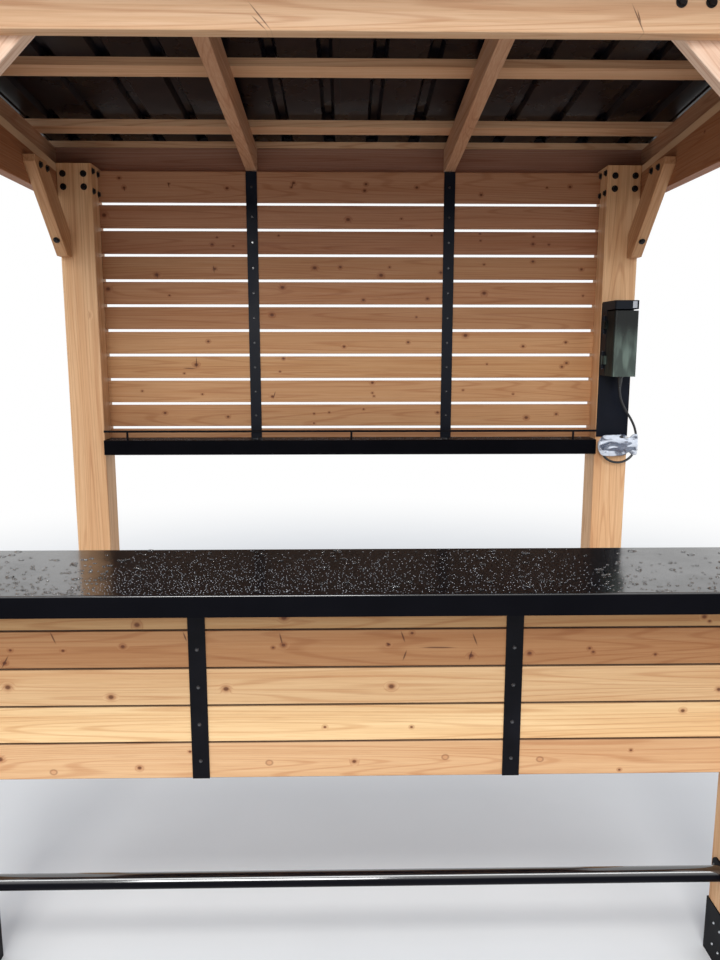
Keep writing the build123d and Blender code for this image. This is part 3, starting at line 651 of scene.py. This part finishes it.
# Bar top and rear shelf. Folded steel trays, black powder coat. A film of rain lies on every
# face that looks up: thick and mirror-like towards the bar's ends, thin elsewhere.
def wet_coat(name, thin, thick, reach):
    """Satin powder coat under rain water, which mirrors the sky. The film is thin in the bar's
    middle and thick beyond reach, and it comes further in at the front than at the back."""
    material, tree, surface = finish_named(name, Specular_IOR_Level=0.012, Roughness=0.36,
                                           Coat_Roughness=0.1, Coat_IOR=1.8)
    place = put(tree, "ShaderNodeTexCoord").outputs["Object"]
    film = put(tree, "ShaderNodeTexNoise",
               {"Vector": place, "Scale": 9.0, "Detail": 3.0}).outputs["Fac"]
    grain = put(tree, "ShaderNodeTexNoise",
                {"Vector": place, "Scale": 420.0, "Detail": 1.0}).outputs["Fac"]
    normal = put(tree, "ShaderNodeNewGeometry").outputs["True Normal"]
    facing = put(tree, "ShaderNodeSeparateXYZ", {"Vector": normal}).outputs
    upward = put(tree, "ShaderNodeMapRange",
                 {"Value": facing["Z"], "From Min": 0.05, "From Max": 0.5},
                 interpolation_type="SMOOTHSTEP").outputs["Result"]
    across = put(tree, "ShaderNodeSeparateXYZ", {"Vector": place}).outputs
    away = put(tree, "ShaderNodeMath", {0: across["X"]}, operation="ABSOLUTE").outputs[0]
    away = put(tree, "ShaderNodeMath", {0: film, 1: 0.06, 2: away},
               operation="MULTIPLY_ADD").outputs[0]
    away = put(tree, "ShaderNodeMath", {0: across["Y"], 1: -0.31, 2: away},
               operation="MULTIPLY_ADD").outputs[0]
    depth = put(tree, "ShaderNodeMapRange", {"Value": away, "From Min": reach - 0.04,
                                             "From Max": reach + 0.04, "To Min": thin,
                                             "To Max": thick},
                interpolation_type="SMOOTHSTEP").outputs["Result"]
    broken = put(tree, "ShaderNodeMapRange", {"Value": film, "From Min": 0.3, "From Max": 0.6,
                                              "To Min": 0.88, "To Max": 1.0},
                 interpolation_type="SMOOTHSTEP").outputs["Result"]
    wet = put(tree, "ShaderNodeMath", {0: upward, 1: depth}, operation="MULTIPLY").outputs[0]
    wet = put(tree, "ShaderNodeMath", {0: wet, 1: broken}, operation="MULTIPLY").outputs[0]
    tone = put(tree, "ShaderNodeMix",
               {"Factor": film, "A": linear("#08080b"), "B": linear("#0e0e12")},
               data_type="RGBA").outputs["Result"]
    orange_peel = put(tree, "ShaderNodeBump", {"Height": grain, "Distance": 0.00002})
    feed(surface, Base_Color=tone, Coat_Weight=wet, Normal=orange_peel.outputs["Normal"])
    return material


dressed(wet_coat("wet_powder_coated_steel", 0.06, 1.0, 0.755), "bar_top")
dressed(wet_coat("damp_powder_coated_steel", 0.07, 0.07, 0.78), "rear_shelf")


# Folded edge. The sheet of the bar top is bent over its front, so the arris is a small round
# that catches a thin line of light.
BAR_HALF, BAR_FRONT, BAR_HIGH = 1.065, -0.774, 1.069


def folded_edge(shape):
    radius, proud = 0.0035, 0.0004
    rings = []
    for x in (-BAR_HALF, BAR_HALF):
        middle = Vector((x, BAR_FRONT + radius - proud, BAR_HIGH - radius + proud))
        rings.append([middle + radius * Vector((0, -math.cos(t), math.sin(t)))
                      for t in [math.pi / 2 * n / 10 for n in range(11)]] + [middle])
    skin(shape, rings)


WET_EDGE = powder_coat("wet_folded_edge", "#08080b", "#0e0e12", 0.3, peel=0.00001,
                       Specular_IOR_Level=0.2, Coat_Weight=1.0, Coat_Roughness=0.12, Coat_IOR=1.7)
shown("bar_top_edge", mesh_of("bar_top_edge", folded_edge), WET_EDGE)


# Water. Beads of rain stand on both trays: a mist of small ones, larger ones towards the bar's
# ends and some large flat drops.
def opened_tree(name, inputs):
    """A new Geometry Nodes tree and its inputs: geometry, these labelled numbers and a material."""
    tree = bpy.data.node_groups.new(name, "GeometryNodeTree")
    tree.interface.new_socket("Geometry", in_out="INPUT", socket_type="NodeSocketGeometry")
    for label, value in inputs:
        kind = "NodeSocketInt" if isinstance(value, int) else "NodeSocketFloat"
        tree.interface.new_socket(label, in_out="INPUT", socket_type=kind).default_value = value
    tree.interface.new_socket("Material", in_out="INPUT", socket_type="NodeSocketMaterial")
    tree.interface.new_socket("Geometry", in_out="OUTPUT", socket_type="NodeSocketGeometry")
    return tree, put(tree, "NodeGroupInput").outputs


def closed_tree(tree, repeats, material, smooth=False):
    """Makes the repeats real geometry, gives them their material and ends the tree."""
    made = put(tree, "GeometryNodeRealizeInstances", {"Geometry": repeats}).outputs["Geometry"]
    if smooth:
        made = put(tree, "GeometryNodeSetShadeSmooth", {"Geometry": made}).outputs["Geometry"]
    made = put(tree, "GeometryNodeSetMaterial", {"Geometry": made, "Material": material})
    put(tree, "NodeGroupOutput", {"Geometry": made.outputs["Geometry"]})
    return tree


def water_tree(name, bead, **faces):
    """Strews flattened beads over a face, in patches and closer together towards its front."""
    tree, given = opened_tree(name, (("Density", 900.0), ("Apart", 0.003), ("Smallest", 0.001),
                                     ("Largest", 0.002), ("Draw", 1.0), ("Patch", 9.0),
                                     ("Dry", 0.4), ("Back", 0.0), ("Front", -1.0)))
    place = put(tree, "GeometryNodeInputPosition").outputs[0]
    patch = put(tree, "ShaderNodeTexNoise",
                {"Vector": place, "Scale": given["Patch"], "Detail": 2.0})
    patchy = put(tree, "ShaderNodeMapRange",
                 {"Value": patch.outputs["Fac"], "From Min": given["Dry"],
                  "From Max": 0.56, "To Min": 0.0}).outputs["Result"]
    depth = put(tree, "ShaderNodeSeparateXYZ", {"Vector": place}).outputs["Y"]
    forward = put(tree, "ShaderNodeMapRange", {"Value": depth, "From Min": given["Back"],
                                               "From Max": given["Front"],
                                               "To Min": 0.06}).outputs["Result"]
    share = put(tree, "ShaderNodeMath", {0: patchy, 1: forward}, operation="MULTIPLY").outputs[0]
    points = put(tree, "GeometryNodeDistributePointsOnFaces",
                 {"Mesh": given["Geometry"], "Distance Min": given["Apart"],
                  "Density Max": given["Density"],
                  "Density Factor": share, "Seed": 7}, distribute_method="POISSON")
    drop = put(tree, bead, {**faces, "Radius": 1.0})
    size = put(tree, "FunctionNodeRandomValue",
               {2: given["Smallest"], 3: given["Largest"], "Seed": 11},
               data_type="FLOAT").outputs[1]
    wide = put(tree, "FunctionNodeRandomValue", {2: 1.0, 3: given["Draw"], "Seed": 13},
               data_type="FLOAT").outputs[1]
    across = put(tree, "ShaderNodeMath", {0: size, 1: wide}, operation="MULTIPLY").outputs[0]
    height = put(tree, "ShaderNodeMath", {0: size, 1: 0.7}, operation="MULTIPLY").outputs[0]
    scale = put(tree, "ShaderNodeCombineXYZ", {"X": across, "Y": size, "Z": height})
    beads = put(tree, "GeometryNodeInstanceOnPoints", {"Points": points.outputs["Points"],
                                                       "Instance": drop.outputs["Mesh"],
                                                       "Scale": scale.outputs["Vector"]})
    return closed_tree(tree, beads.outputs["Instances"], given["Material"], smooth=True)


def grown(name, start, tree, values):
    """Runs a node tree on a starting mesh and keeps the result as one plain mesh piece."""
    holder = bpy.data.objects.new(name + "_start", start)
    bpy.context.scene.collection.objects.link(holder)
    modifier = holder.modifiers.new("grow", "NODES")
    modifier.node_group = tree
    sockets = {item.name: item.identifier for item in tree.interface.items_tree
               if item.in_out == "INPUT"}
    for label, value in values.items():
        modifier[sockets[label]] = value
    bpy.context.view_layer.update()
    depsgraph = bpy.context.evaluated_depsgraph_get()
    mesh = bpy.data.meshes.new_from_object(holder.evaluated_get(depsgraph))
    holder.modifiers.clear()
    bpy.data.objects.remove(holder)
    mesh.name = name
    return shown(name, mesh)


def level_patch(name, outlines, height):
    mesh = bpy.data.meshes.new(name)
    corners, faces = [], []
    for x_low, x_high, y_low, y_high in outlines:
        first = len(corners)
        corners += [(x_low, y_low, height), (x_high, y_low, height), (x_high, y_high, height),
                    (x_low, y_high, height)]
        faces.append(tuple(range(first, first + 4)))
    mesh.from_pydata(corners, [], faces)
    return mesh


# Rain water: colourless and mirror-smooth. The small beads scatter the sky's light, so a little
# white stands for that and they show pale on the black.
WATER = finish_named("rain_water", Base_Color=linear("#ffffff"), Roughness=0.02, IOR=1.333,
                     Transmission_Weight=0.97)[0]
MIST = finish_named("rain_mist", Base_Color=linear("#dfe4ec"), Roughness=0.05, IOR=1.333,
                    Transmission_Weight=0.5)[0]
MIST_TREE = water_tree("water_mist", "GeometryNodeMeshIcoSphere", Subdivisions=1)
DROP_TREE = water_tree("water_drops", "GeometryNodeMeshUVSphere", Segments=10, Rings=5)
BAR_WET = [(-1.058, 1.058, -0.768, -0.548), (-0.898, 0.898, -0.541, -0.426)]
BAR_MIDDLE = [(-0.52, 0.50, -0.768, -0.426)]
BAR_ENDS = [(-1.058, -0.52, -0.768, -0.548), (0.50, 1.058, -0.768, -0.548)]
SHELF_WET = [(-0.900, 0.900, 0.693, 0.777)]
SHELF_HIGH = 1.196
FINE_BEADS = {"Density": 30000.0, "Apart": 0.0048, "Smallest": 0.0006, "Largest": 0.0013,
              "Draw": 1.1, "Material": MIST}
LARGE_DROPS = {"Density": 420.0, "Apart": 0.012, "Smallest": 0.0020, "Largest": 0.0046, "Draw": 2.6,
               "Patch": 5.0, "Dry": 0.2, "Material": WATER}
END_BEADS = {**LARGE_DROPS, "Density": 9000.0, "Apart": 0.006, "Smallest": 0.0014,
             "Largest": 0.0032, "Draw": 1.6, "Dry": 0.3}
for name, outlines, height, tree, values in (
        ("bar_mist", BAR_MIDDLE, BAR_HIGH, MIST_TREE,
         {**FINE_BEADS, "Dry": 0.43, "Back": -0.62, "Front": -0.72}),
        ("bar_end_beads", BAR_ENDS, BAR_HIGH, DROP_TREE,
         {**END_BEADS, "Back": -0.50, "Front": -0.74}),
        ("bar_drops", BAR_WET, BAR_HIGH, DROP_TREE, {**LARGE_DROPS, "Back": -0.20, "Front": -0.50}),
        ("shelf_mist", SHELF_WET, SHELF_HIGH, MIST_TREE,
         {**FINE_BEADS, "Dry": 0.34, "Back": 0.80, "Front": 0.72})):
    grown(name, level_patch(name + "_face", outlines, height), tree, values)

# Foot rail. A round steel tube, black and rain-wet on top, that takes a long bright highlight;
# its underside is dry and satin.
GLOSS_COAT, tree, surface = finish_named("gloss_coated_tube", Roughness=0.32,
                                         Specular_IOR_Level=0.05, Coat_Roughness=0.09, Coat_IOR=2.2)
place = put(tree, "ShaderNodeTexCoord").outputs["Object"]
film = put(tree, "ShaderNodeTexNoise",
           {"Vector": place, "Scale": 14.0, "Detail": 2.0}).outputs["Fac"]
normal = put(tree, "ShaderNodeNewGeometry").outputs["Normal"]
facing = put(tree, "ShaderNodeSeparateXYZ", {"Vector": normal}).outputs
wet = put(tree, "ShaderNodeMapRange", {"Value": facing["Z"], "From Min": 0.30, "From Max": 0.62},
          interpolation_type="SMOOTHSTEP")
tone = put(tree, "ShaderNodeMix", {"Factor": film, "A": linear("#07070b"), "B": linear("#0d0d13")},
           data_type="RGBA")
feed(surface, Base_Color=tone.outputs["Result"], Coat_Weight=wet.outputs["Result"])
dressed(GLOSS_COAT, "foot_rail")


# Fixings. Black hex bolts with washers hold the frame; small pan-head screws hold the straps,
# the shoes and the foot rail's plates; washer-head screws hold the roof sheets.
def fixing_tree():
    """A head on a washer at each point, turned to face the way that the point's attribute says."""
    tree, given = opened_tree("fixing_heads", (("Head Radius", 0.008), ("Head Height", 0.005),
                                               ("Washer Radius", 0.011), ("Washer Height", 0.0015),
                                               ("Crown", 0.7), ("Sides", 6)))
    crown = put(tree, "ShaderNodeMath", {0: given["Head Radius"], 1: given["Crown"]},
                operation="MULTIPLY")
    head = put(tree, "GeometryNodeMeshCone", {"Vertices": given["Sides"], "Side Segments": 1,
                                              "Radius Top": crown.outputs[0],
                                              "Radius Bottom": given["Head Radius"],
                                              "Depth": given["Head Height"]})
    seat = put(tree, "ShaderNodeCombineXYZ", {"Z": given["Washer Height"]})
    lifted = put(tree, "GeometryNodeTransform", {"Geometry": head.outputs["Mesh"],
                                                 "Translation": seat.outputs["Vector"]})
    washer = put(tree, "GeometryNodeMeshCone",
                 {"Vertices": 20, "Radius Top": given["Washer Radius"],
                  "Radius Bottom": given["Washer Radius"],
                  "Depth": given["Washer Height"]})
    both = put(tree, "GeometryNodeJoinGeometry")
    tree.links.new(lifted.outputs["Geometry"], both.inputs[0])
    tree.links.new(washer.outputs["Mesh"], both.inputs[0])
    facing = put(tree, "GeometryNodeInputNamedAttribute", {"Name": "facing"},
                 data_type="FLOAT_VECTOR")
    turned = put(tree, "FunctionNodeAlignRotationToVector", {"Vector": facing.outputs["Attribute"]},
                 axis="Z")
    points = put(tree, "GeometryNodeMeshToPoints", {"Mesh": given["Geometry"]})
    heads = put(tree, "GeometryNodeInstanceOnPoints", {"Points": points.outputs["Points"],
                                                       "Instance": both.outputs["Geometry"],
                                                       "Rotation": turned.outputs["Rotation"]})
    return closed_tree(tree, heads.outputs["Instances"], given["Material"])


FIXING = fixing_tree()


def fixings(name, places, material, slot, **sizes):
    """One joined piece of like heads; places are (x, y, z, way that the head faces)."""
    mesh = bpy.data.meshes.new(name + "_places")
    mesh.from_pydata([p[:3] for p in places], [], [])
    facing = mesh.attributes.new("facing", "FLOAT_VECTOR", "POINT")
    facing.data.foreach_set("vector", [c for p in places for c in p[3]])
    values = {label.replace("_", " "): value for label, value in sizes.items()}
    piece = grown(name, mesh, FIXING, {**values, "Material": material})


# Black zinc is dark and satin, and wet screws in it catch a small highlight; bright zinc is a
# soft grey metal.
BOLT_BLACK = powder_coat("black_zinc_bolts", "#0d0d10", "#151518", 0.34, Specular_IOR_Level=0.25)
SCREW_BLACK = powder_coat("black_zinc_screws", "#1c1c20", "#2a2a2e", 0.3, Specular_IOR_Level=0.6,
                          Coat_Weight=1.0, Coat_Roughness=0.1)
SCREW_ZINC = moulded("bright_zinc_screws", "#8d9094", "#b4b8bb", 0.002, 0.36, 0.00001, Metallic=1.0)
bolts, strap_screws, shoe_screws, roof_screws = [], [], [], []
for side in (-1, 1):
    inward, outward, forward = (-side, 0, 0), (side, 0, 0), (0, -1, 0)
    # The rear posts, on the header behind them and on the side beams.
    for z in (2.131, 2.087):
        bolts += [(side * 0.934, 0.702, z, forward), (side * 1.0055, 0.702, z, forward)]
    for z in (2.143, 2.075):
        bolts += [(side * 0.907, 0.7205, z, inward), (side * 0.907, 0.780, z, inward)]
    # The side braces' upper ends, and the front beam on its braces and posts.
    for y in (0.501, 0.442, -0.220, -0.161):
        bolts.append((side * 0.989, y, 2.107, inward))
    for x in (0.694, 0.635, 0.934, 1.0055):
        bolts.append((side * x, -0.579, 2.205 if side > 0 else 2.217, forward))
    # The braces' undersides, square to their slope.
    bolts += [(side * 1.008, 0.609, 1.896, (0, -0.7071, -0.7071)),
              (side * 1.008, -0.328, 1.896, (0, 0.7071, -0.7071)),
              (side * 0.814, -0.522, 1.99375, (-0.7071 * side, 0, -0.7071))]
    # The side beams, from outside.
    for y, z in ((-0.451, 2.078), (-0.511, 2.078), (0.732, 2.076), (0.792, 2.076)):
        bolts.append((side * 1.065, y, z, outward))
    # One screw for each board and slat in the straps, and two in each plate of the foot rail.
    for n in range(5):
        strap_screws.append((side * 0.367, -0.501, 0.5765 + 0.092 * n, forward))
    for z in [2.1025] + [1.999 - 0.090 * n for n in range(10)]:
        strap_screws.append((side * 0.358, 0.779, z, forward))
    for y in (-0.481 - 0.034, -0.481 + 0.034):
        strap_screws.append((side * 0.902, y, 0.2525, inward))
    # Four screws in the inner and the outer wall of each shoe.
    for y_rear in (-0.418, 0.825):
        for y in (y_rear - 0.047, y_rear - 0.079):
            for z in (0.102, 0.043):
                shoe_screws += [(side * 0.904, y, z, inward), (side * 1.030, y, z, outward)]
# One screw in each rib over each batten; the left sheet lies lower, under the lap.
for y in (0.841, 0.642, 0.1685, -0.305, -0.8005):
    roof_z = ROOF_TOP + (ROOF_FRONT - y) * TILT
    for x in RIB_XS:
        lower = 0.0003 if x > 0 else 0.0013
        roof_screws.append((x, y, roof_z - lower, (0, math.sin(math.radians(5)), 1)))
fixings("frame_bolts", bolts, BOLT_BLACK, "black_steel", Head_Radius=0.0085, Head_Height=0.006,
        Crown=0.86, Washer_Radius=0.0112, Washer_Height=0.0018)
fixings("strap_screws", strap_screws, SCREW_BLACK, "black_steel", Head_Radius=0.0042,
        Head_Height=0.0022, Crown=0.6, Sides=12, Washer_Radius=0.0044, Washer_Height=0.0004)
fixings("shoe_screws", shoe_screws, SCREW_ZINC, "black_steel", Head_Radius=0.0035,
        Head_Height=0.0024, Crown=0.62, Sides=12, Washer_Radius=0.0037, Washer_Height=0.0004)
fixings("roof_screws", roof_screws, BOLT_BLACK, "roof_steel", Head_Radius=0.0045,
        Head_Height=0.0045, Crown=0.9, Washer_Radius=0.0070, Washer_Height=0.0012)

# Outlet box. Moulded weatherproof plastic with a hood; behind the smoked cover sits a grey
# double socket on its yoke. The label's place on the hood is a bare grey patch.
BOX_PLASTIC = moulded("moulded_box_plastic", "#12151b", "#1a1e25", 0.0012, 0.55, 0.00004,
                      Specular_IOR_Level=0.12)
dressed(BOX_PLASTIC, "outlet_box")
dressed(CORD_JACKET, "cord_gland")

# Smoked polycarbonate, near-black green: painted darker near the top as painted shade of the hood,
# paler and clearer below, with soft upright pale streaks that are painted reflections; its edges
# and sides look thicker and darker than its front.
SMOKED, tree, surface = finish_named("smoked_polycarbonate", Specular_IOR_Level=0.25,
                                     Coat_Roughness=0.08)
place = put(tree, "ShaderNodeTexCoord").outputs["Object"]
axes = put(tree, "ShaderNodeSeparateXYZ", {"Vector": place}).outputs
drawn = put(tree, "ShaderNodeMapping", {"Vector": place, "Rotation": (0.0, math.radians(24), 0.0),
                                        "Scale": (34.0, 34.0, 9.0)})
haze = put(tree, "ShaderNodeTexNoise", {"Vector": drawn.outputs["Vector"], "Scale": 1.0,
                                        "Detail": 2.0}).outputs["Fac"]
normal = put(tree, "ShaderNodeNewGeometry").outputs["True Normal"]
facing = put(tree, "ShaderNodeSeparateXYZ", {"Vector": normal}).outputs
sideways = put(tree, "ShaderNodeMath", {0: facing["X"]}, operation="ABSOLUTE").outputs[0]
reaches = {}
for part, value, low, high, start, end, kind in (
        ("height", axes["Z"], 1.625, 1.505, 0.0, 1.0, "SMOOTHSTEP"),
        ("haze", haze, 0.36, 0.62, 0.32, 1.0, "SMOOTHSTEP"),
        ("side", sideways, 0.5, 0.9, 0.0, 0.96, "LINEAR"),
        ("rough", sideways, 0.5, 0.9, 0.2, 0.8, "SMOOTHSTEP"),
        ("coat", sideways, 0.5, 0.9, 0.25, 0.0, "SMOOTHSTEP")):
    reaches[part] = put(tree, "ShaderNodeMapRange",
                        {"Value": value, "From Min": low, "From Max": high,
                         "To Min": start, "To Max": end},
                        interpolation_type=kind).outputs["Result"]
# Pale low down and along the streaks, dark at the top: painted light, painted shade and painted
# reflections.
painted_light_share = put(tree, "ShaderNodeMath", {0: reaches["height"], 1: reaches["haze"]},
           operation="MULTIPLY").outputs[0]
front = put(tree, "ShaderNodeMapRange", {"Value": painted_light_share, "To Min": 0.94, "To Max": 0.80},
            interpolation_type="SMOOTHSTEP").outputs["Result"]
cloudy = put(tree, "ShaderNodeMath", {0: front, 1: reaches["side"]}, operation="MAXIMUM").outputs[0]
tone = put(tree, "ShaderNodeMix", {"Factor": painted_light_share, "A": linear("#0b100e"), "B": linear("#6f7f75")},
           data_type="RGBA").outputs["Result"]
feed(surface, Base_Color=stained(tree, tone, sideways, (0.5, 0.9, 0.0, 0.85), "#101110"),
     Alpha=cloudy, Roughness=reaches["rough"], Coat_Weight=reaches["coat"])
dressed(SMOKED, "outlet_cover")


def slab(shape, low, high, edge=0.0):
    """A block between two corners, its edges eased."""
    made = bmesh.ops.create_cube(shape, size=1.0)["verts"]
    middle = (Vector(low) + Vector(high)) / 2
    size = Vector(high) - Vector(low)
    for vert in made:
        vert.co = Vector((vert.co.x * size.x, vert.co.y * size.y, vert.co.z * size.z)) + middle
    if edge:
        edges = list({e for vert in made for e in vert.link_edges})
        bmesh.ops.bevel(shape, geom=edges, offset=edge, segments=2, affect="EDGES")


# Socket. A grey moulded double socket, its two faces on one yoke, stands behind the cover. Its
# slots are dark blocks let into the faces, painted shade in place of open holes.
SOCKET_GREY = moulded("grey_socket_plastic", "#7f888e", "#8f989e", 0.001, 0.4, 0.00002)
SOCKET_X, SOCKET_MIDDLES = 0.952, (1.545, 1.597)
YOKE_FRONT, SOCKET_FRONT, SLOT_FRONT, SLOT_BACK = 0.6890, 0.6845, 0.6838, 0.6850


def socket_parts(shape):
    slab(shape, (SOCKET_X - 0.028, YOKE_FRONT, 1.500), (SOCKET_X + 0.028, 0.6935, 1.640), 0.0015)
    for middle in SOCKET_MIDDLES:
        slab(shape, (SOCKET_X - 0.017, SOCKET_FRONT, middle - 0.018),
             (SOCKET_X + 0.017, 0.6895, middle + 0.018), 0.0030)


def socket_slots(shape):
    for middle in SOCKET_MIDDLES:
        for x, half in ((SOCKET_X - 0.0062, 0.0045), (SOCKET_X + 0.0062, 0.0037)):
            slab(shape, (x - 0.0009, SLOT_FRONT, middle - half + 0.004),
                 (x + 0.0009, SLOT_BACK, middle + half + 0.004))
        slab(shape, (SOCKET_X - 0.0025, SLOT_FRONT, middle - 0.0115),
             (SOCKET_X + 0.0025, SLOT_BACK, middle - 0.0068), 0.0004)


shown("double_socket", mesh_of("double_socket", socket_parts), SOCKET_GREY)
SLOT_DARK = moulded("socket_slot_shadow", "#08090a", "#0d0e10", 0.001, 0.7, 0.00001)
shown("socket_slots", mesh_of("socket_slots", socket_slots), SLOT_DARK)

# Label. Its place on the hood is a bare patch of grey film, on the front and round the corner;
# nothing is written on it.
LABEL_GREY = moulded("bare_grey_label_film", "#a9adb2", "#b5b9be", 0.002, 0.4, 0.00001)


def label_patch(shape):
    slab(shape, (0.9700, 0.55375, 1.6675), (0.9852, 0.5541, 1.6905), 0.0001)
    slab(shape, (0.99385, 0.5632, 1.6675), (0.99425, 0.5900, 1.6905), 0.0001)


shown("bare_label", mesh_of("bare_label", label_patch), LABEL_GREY)


# Hinge pin ends. The cover turns on two pins, and their small bright riveted ends show above
# and below each knuckle.
HINGE_X, HINGE_Y, BOX_FOOT = 0.903, 0.650, 1.432
KNUCKLES, KNUCKLE_HALF = (0.056, 0.180), 0.0302


def rivet_ends(shape):
    for up in KNUCKLES:
        for z, lift in ((BOX_FOOT + up + KNUCKLE_HALF, 0.0012),
                        (BOX_FOOT + up - KNUCKLE_HALF, -0.0012)):
            rings = []
            for share, radius in ((0.0, 0.0030), (0.6, 0.0028), (1.0, 0.0016)):
                turns = [math.tau * k / 16 for k in range(16)]
                rings.append([Vector((HINGE_X + radius * math.cos(t),
                                      HINGE_Y + radius * math.sin(t),
                                      z + lift * share)) for t in turns])
            skin(shape, rings)


shown("hinge_rivets", mesh_of("hinge_rivets", rivet_ends), SCREW_ZINC)

# Floor and light. A plain pale floor that fades into a white surround, a pale sky and two soft
# lamps: a broad one well out in front, and a long strip that gives the foot rail its highlight.
FLOOR, tree, surface = finish_named("pale_studio_floor", Roughness=0.85, Specular_IOR_Level=0.1)
place = put(tree, "ShaderNodeTexCoord").outputs["Object"]
far = put(tree, "ShaderNodeVectorMath", {0: place}, operation="LENGTH").outputs["Value"]
mottled = put(tree, "ShaderNodeTexNoise", {"Vector": place, "Scale": 3.0, "Detail": 4.0})


def seen_directly(tree):
    """1 for what the eye sees, straight on or in gloss and glass; 0 for light that bounces."""
    ways = put(tree, "ShaderNodeLightPath").outputs
    seen = put(tree, "ShaderNodeMath", {0: ways["Is Camera Ray"], 1: ways["Is Glossy Ray"]},
               operation="MAXIMUM")
    return put(tree, "ShaderNodeMath", {0: seen.outputs[0], 1: ways["Is Transmission Ray"]},
               operation="MAXIMUM").outputs[0]


seen = seen_directly(tree)
pale = put(tree, "ShaderNodeMix", {"Factor": mottled.outputs["Fac"], "A": linear("#dcdcda"),
                                   "B": linear("#e4e4e2")}, data_type="RGBA").outputs["Result"]
tone = put(tree, "ShaderNodeMix", {"Factor": seen, "A": linear("#c2c0bc"), "B": pale},
           data_type="RGBA")
feed(surface, Base_Color=tone.outputs["Result"])
distance = put(tree, "ShaderNodeMapRange", {"Value": far, "From Min": 2.2, "From Max": 6.0},
               interpolation_type="SMOOTHSTEP").outputs["Result"]
fade = put(tree, "ShaderNodeMath", {0: distance, 1: seen}, operation="MULTIPLY").outputs[0]
white = put(tree, "ShaderNodeEmission", {"Color": (1, 1, 1, 1), "Strength": 1.0})
mixed = put(tree, "ShaderNodeMixShader",
            {0: fade, 1: surface.outputs["BSDF"], 2: white.outputs["Emission"]})
output = next(n for n in tree.nodes if n.type == "OUTPUT_MATERIAL")
tree.links.new(mixed.outputs["Shader"], output.inputs["Surface"])
floor_mesh = level_patch("floor", [(-40, 40, -40, 40)], 0.0)
floor = bpy.data.objects.new("floor", floor_mesh)
floor_mesh.materials.append(FLOOR)
bpy.context.scene.collection.objects.link(floor)

world = bpy.data.worlds.new("pale_sky")
bpy.context.scene.world = world
world.use_nodes = True
tree = world.node_tree
tree.nodes.clear()
lit = put(tree, "ShaderNodeBackground", {"Color": linear("#e3ebf8"), "Strength": 0.9})
bright = put(tree, "ShaderNodeBackground", {"Color": (1, 1, 1, 1), "Strength": 1.0})
mixed = put(tree, "ShaderNodeMixShader",
            {0: seen_directly(tree), 1: lit.outputs[0], 2: bright.outputs[0]})
put(tree, "ShaderNodeOutputWorld", {"Surface": mixed.outputs[0]})

for name, place, aim, wide, high, power in (
        ("front", (-1.1, -8.5, 4.2), (0.0, 0.0, 1.3), 3.0, 3.0, 440.0),
        ("strip", (0.0, -4.3, 5.6), (0.0, -0.5, 0.25), 9.0, 1.3, 210.0)):
    lamp = bpy.data.lights.new(name, "AREA")
    lamp.shape = "RECTANGLE"
    lamp.size = wide
    lamp.size_y = high
    lamp.energy = power
    holder = bpy.data.objects.new(name, lamp)
    holder.location = place
    holder.rotation_euler = (Vector(aim) - Vector(place)).to_track_quat("-Z", "Y").to_euler()
    bpy.context.scene.collection.objects.link(holder)
